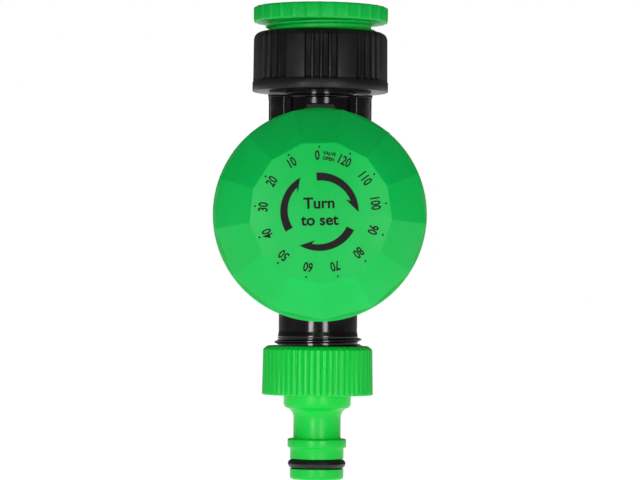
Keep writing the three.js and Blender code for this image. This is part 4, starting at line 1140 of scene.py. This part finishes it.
combine(nipple, bore_out, "DIFFERENCE")
collar_thread = thread(
    "collar_thread", COLLAR_SOCKET, 12.5, 1.814, 1.15, 0.3, collar_top - 5.0, 2.2
)
combine(nipple, collar_thread, "UNION")
belongs(nipple, "connector", "green_plastic", outlet_green, "outlet_connector", angle=26)

# %% [markdown]
# ## Sealing ring
# The O-ring is moulded between two flat halves, which leave a hair of flash round its widest line.
# Its round section is drawn with that flash and spun.

# %% Nipple ring
RING_WIRE, RING_OUTER = 1.325, 8.65
middle = RING_OUTER - RING_WIRE
section = corner(middle, ring_middle, RING_WIRE, 4, 176, 14) + [(middle - RING_WIRE, ring_middle)]
section += corner(middle, ring_middle, RING_WIRE, 184, 356, 14)
section += [(RING_OUTER + 0.04, ring_middle - 0.03), (RING_OUTER + 0.04, ring_middle + 0.03)]
o_ring = turned("sealing_ring", section + [section[0]], 120)
belongs(o_ring, "connector", "black_rubber", black_rubber, "nipple_o_ring", angle=40)

# %% [markdown]
# ## The hidden works
# The seals, the valve and the clockwork are inside, and their CAD shapes are right, so they stay.
# They only get their real finishes, chosen by the frame's own material slots.

# %% Finishes for the CAD pieces that stay
inside = {
    "black_plastic": housing_black,
    "black_rubber": black_rubber,
    "white_plastic": acetal_white,
    "brass": turned_brass,
    "steel": turned_steel,
    "green_plastic": dial_green,
    "deep_green_plastic": adaptor_green,
}
slots = {part["node"]: part["material_slot"] for part in frame["record"]["subparts"]}
for node, piece in frame["nodes"].items():
    piece.data.materials.clear()
    piece.data.materials.append(inside[slots[node]])
print(len(frame["nodes"]), "CAD pieces have a finish")

# %% [markdown]
# The valve's spring stands on the rear cap's plug. Its length and stroke are read, and it gets its
# own mesh.

# %% Valve spring
valve_spring = frame["nodes"]["valve_spring"]
lift = joints["valve_lift"]
spring_low, spring_high = span("valve_spring")
spring_length, stroke = spring_high[1] - spring_low[1], lift["range_m"][1] / MM
VALVE_Z * MM
(spring_length - stroke) / spring_length
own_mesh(valve_spring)
print("valve spring", round(spring_length, 2), "mm long, shortens by", stroke, "mm")

# %% [markdown]
# ## Studio
# The timer hangs over a pale table. The table is bright and lights the timer from below, two tall
# soft strips beside the camera draw the bright lines down the round parts, and the room above is
# dimmer, so the upper facets of the dial are the darker ones.

# %% Floor
bpy.ops.mesh.primitive_plane_add(size=14, location=(0, 0, -0.165))
floor = named("floor")
pale = Finish("pale_table", Roughness=0.9)
pale.shader.inputs["Base Color"].default_value = (0.86, 0.86, 0.86, 1)
pale.shader.inputs["Emission Color"].default_value = (1, 1, 1, 1)
pale.shader.inputs["Emission Strength"].default_value = 0.95
floor.data.materials.append(pale.material)


# %% Lights
AIM_HEIGHT, STRIP_HEIGHT, STRIP_SIZE = -0.06, -0.1, (0.2, 0.3)
STRIP_ANGLE, STRIP_REACH = 21.0, 0.95


def soft_box(name, place, size, power, shade=(1, 1, 1)):
    """A rectangular soft light at a place in metres, turned towards the timer."""
    light = bpy.data.lights.new(name, "AREA")
    light.shape, light.size, light.size_y = "RECTANGLE", size[0], size[1]
    light.energy, light.color = power, shade
    lamp = bpy.data.objects.new(name, light)
    bpy.context.scene.collection.objects.link(lamp)
    lamp.location = place
    aim = Vector((0, 0, AIM_HEIGHT)) - lamp.location
    lamp.rotation_euler = aim.to_track_quat("-Z", "Y").to_euler()
    return lamp


for side, power in ((-1, 3.1), (1, 2.7)):
    turn = math.radians(STRIP_ANGLE) * side
    place = (STRIP_REACH * math.sin(turn), -STRIP_REACH * math.cos(turn), STRIP_HEIGHT)
    soft_box("strip", place, STRIP_SIZE, power)

scene = bpy.context.scene
scene.view_settings.view_transform = "Standard"
world = bpy.data.worlds.new("studio")
scene.world = world
world.use_nodes = True
tree = world.node_tree
tree.nodes.clear()
seen = tree.nodes.new("ShaderNodeLightPath")
room, backdrop = tree.nodes.new("ShaderNodeBackground"), tree.nodes.new("ShaderNodeBackground")
room.inputs["Color"].default_value = (1, 1, 1, 1)
room.inputs["Strength"].default_value = 0.12
backdrop.inputs["Strength"].default_value = 1.0
backdrop.inputs["Color"].default_value = (1, 1, 1, 1)
either = tree.nodes.new("ShaderNodeMixShader")
output = tree.nodes.new("ShaderNodeOutputWorld")
tree.links.new(seen.outputs["Is Camera Ray"], either.inputs[0])
tree.links.new(room.outputs[0], either.inputs[1])
tree.links.new(backdrop.outputs[0], either.inputs[2])
tree.links.new(either.outputs[0], output.inputs["Surface"])
print("studio set")
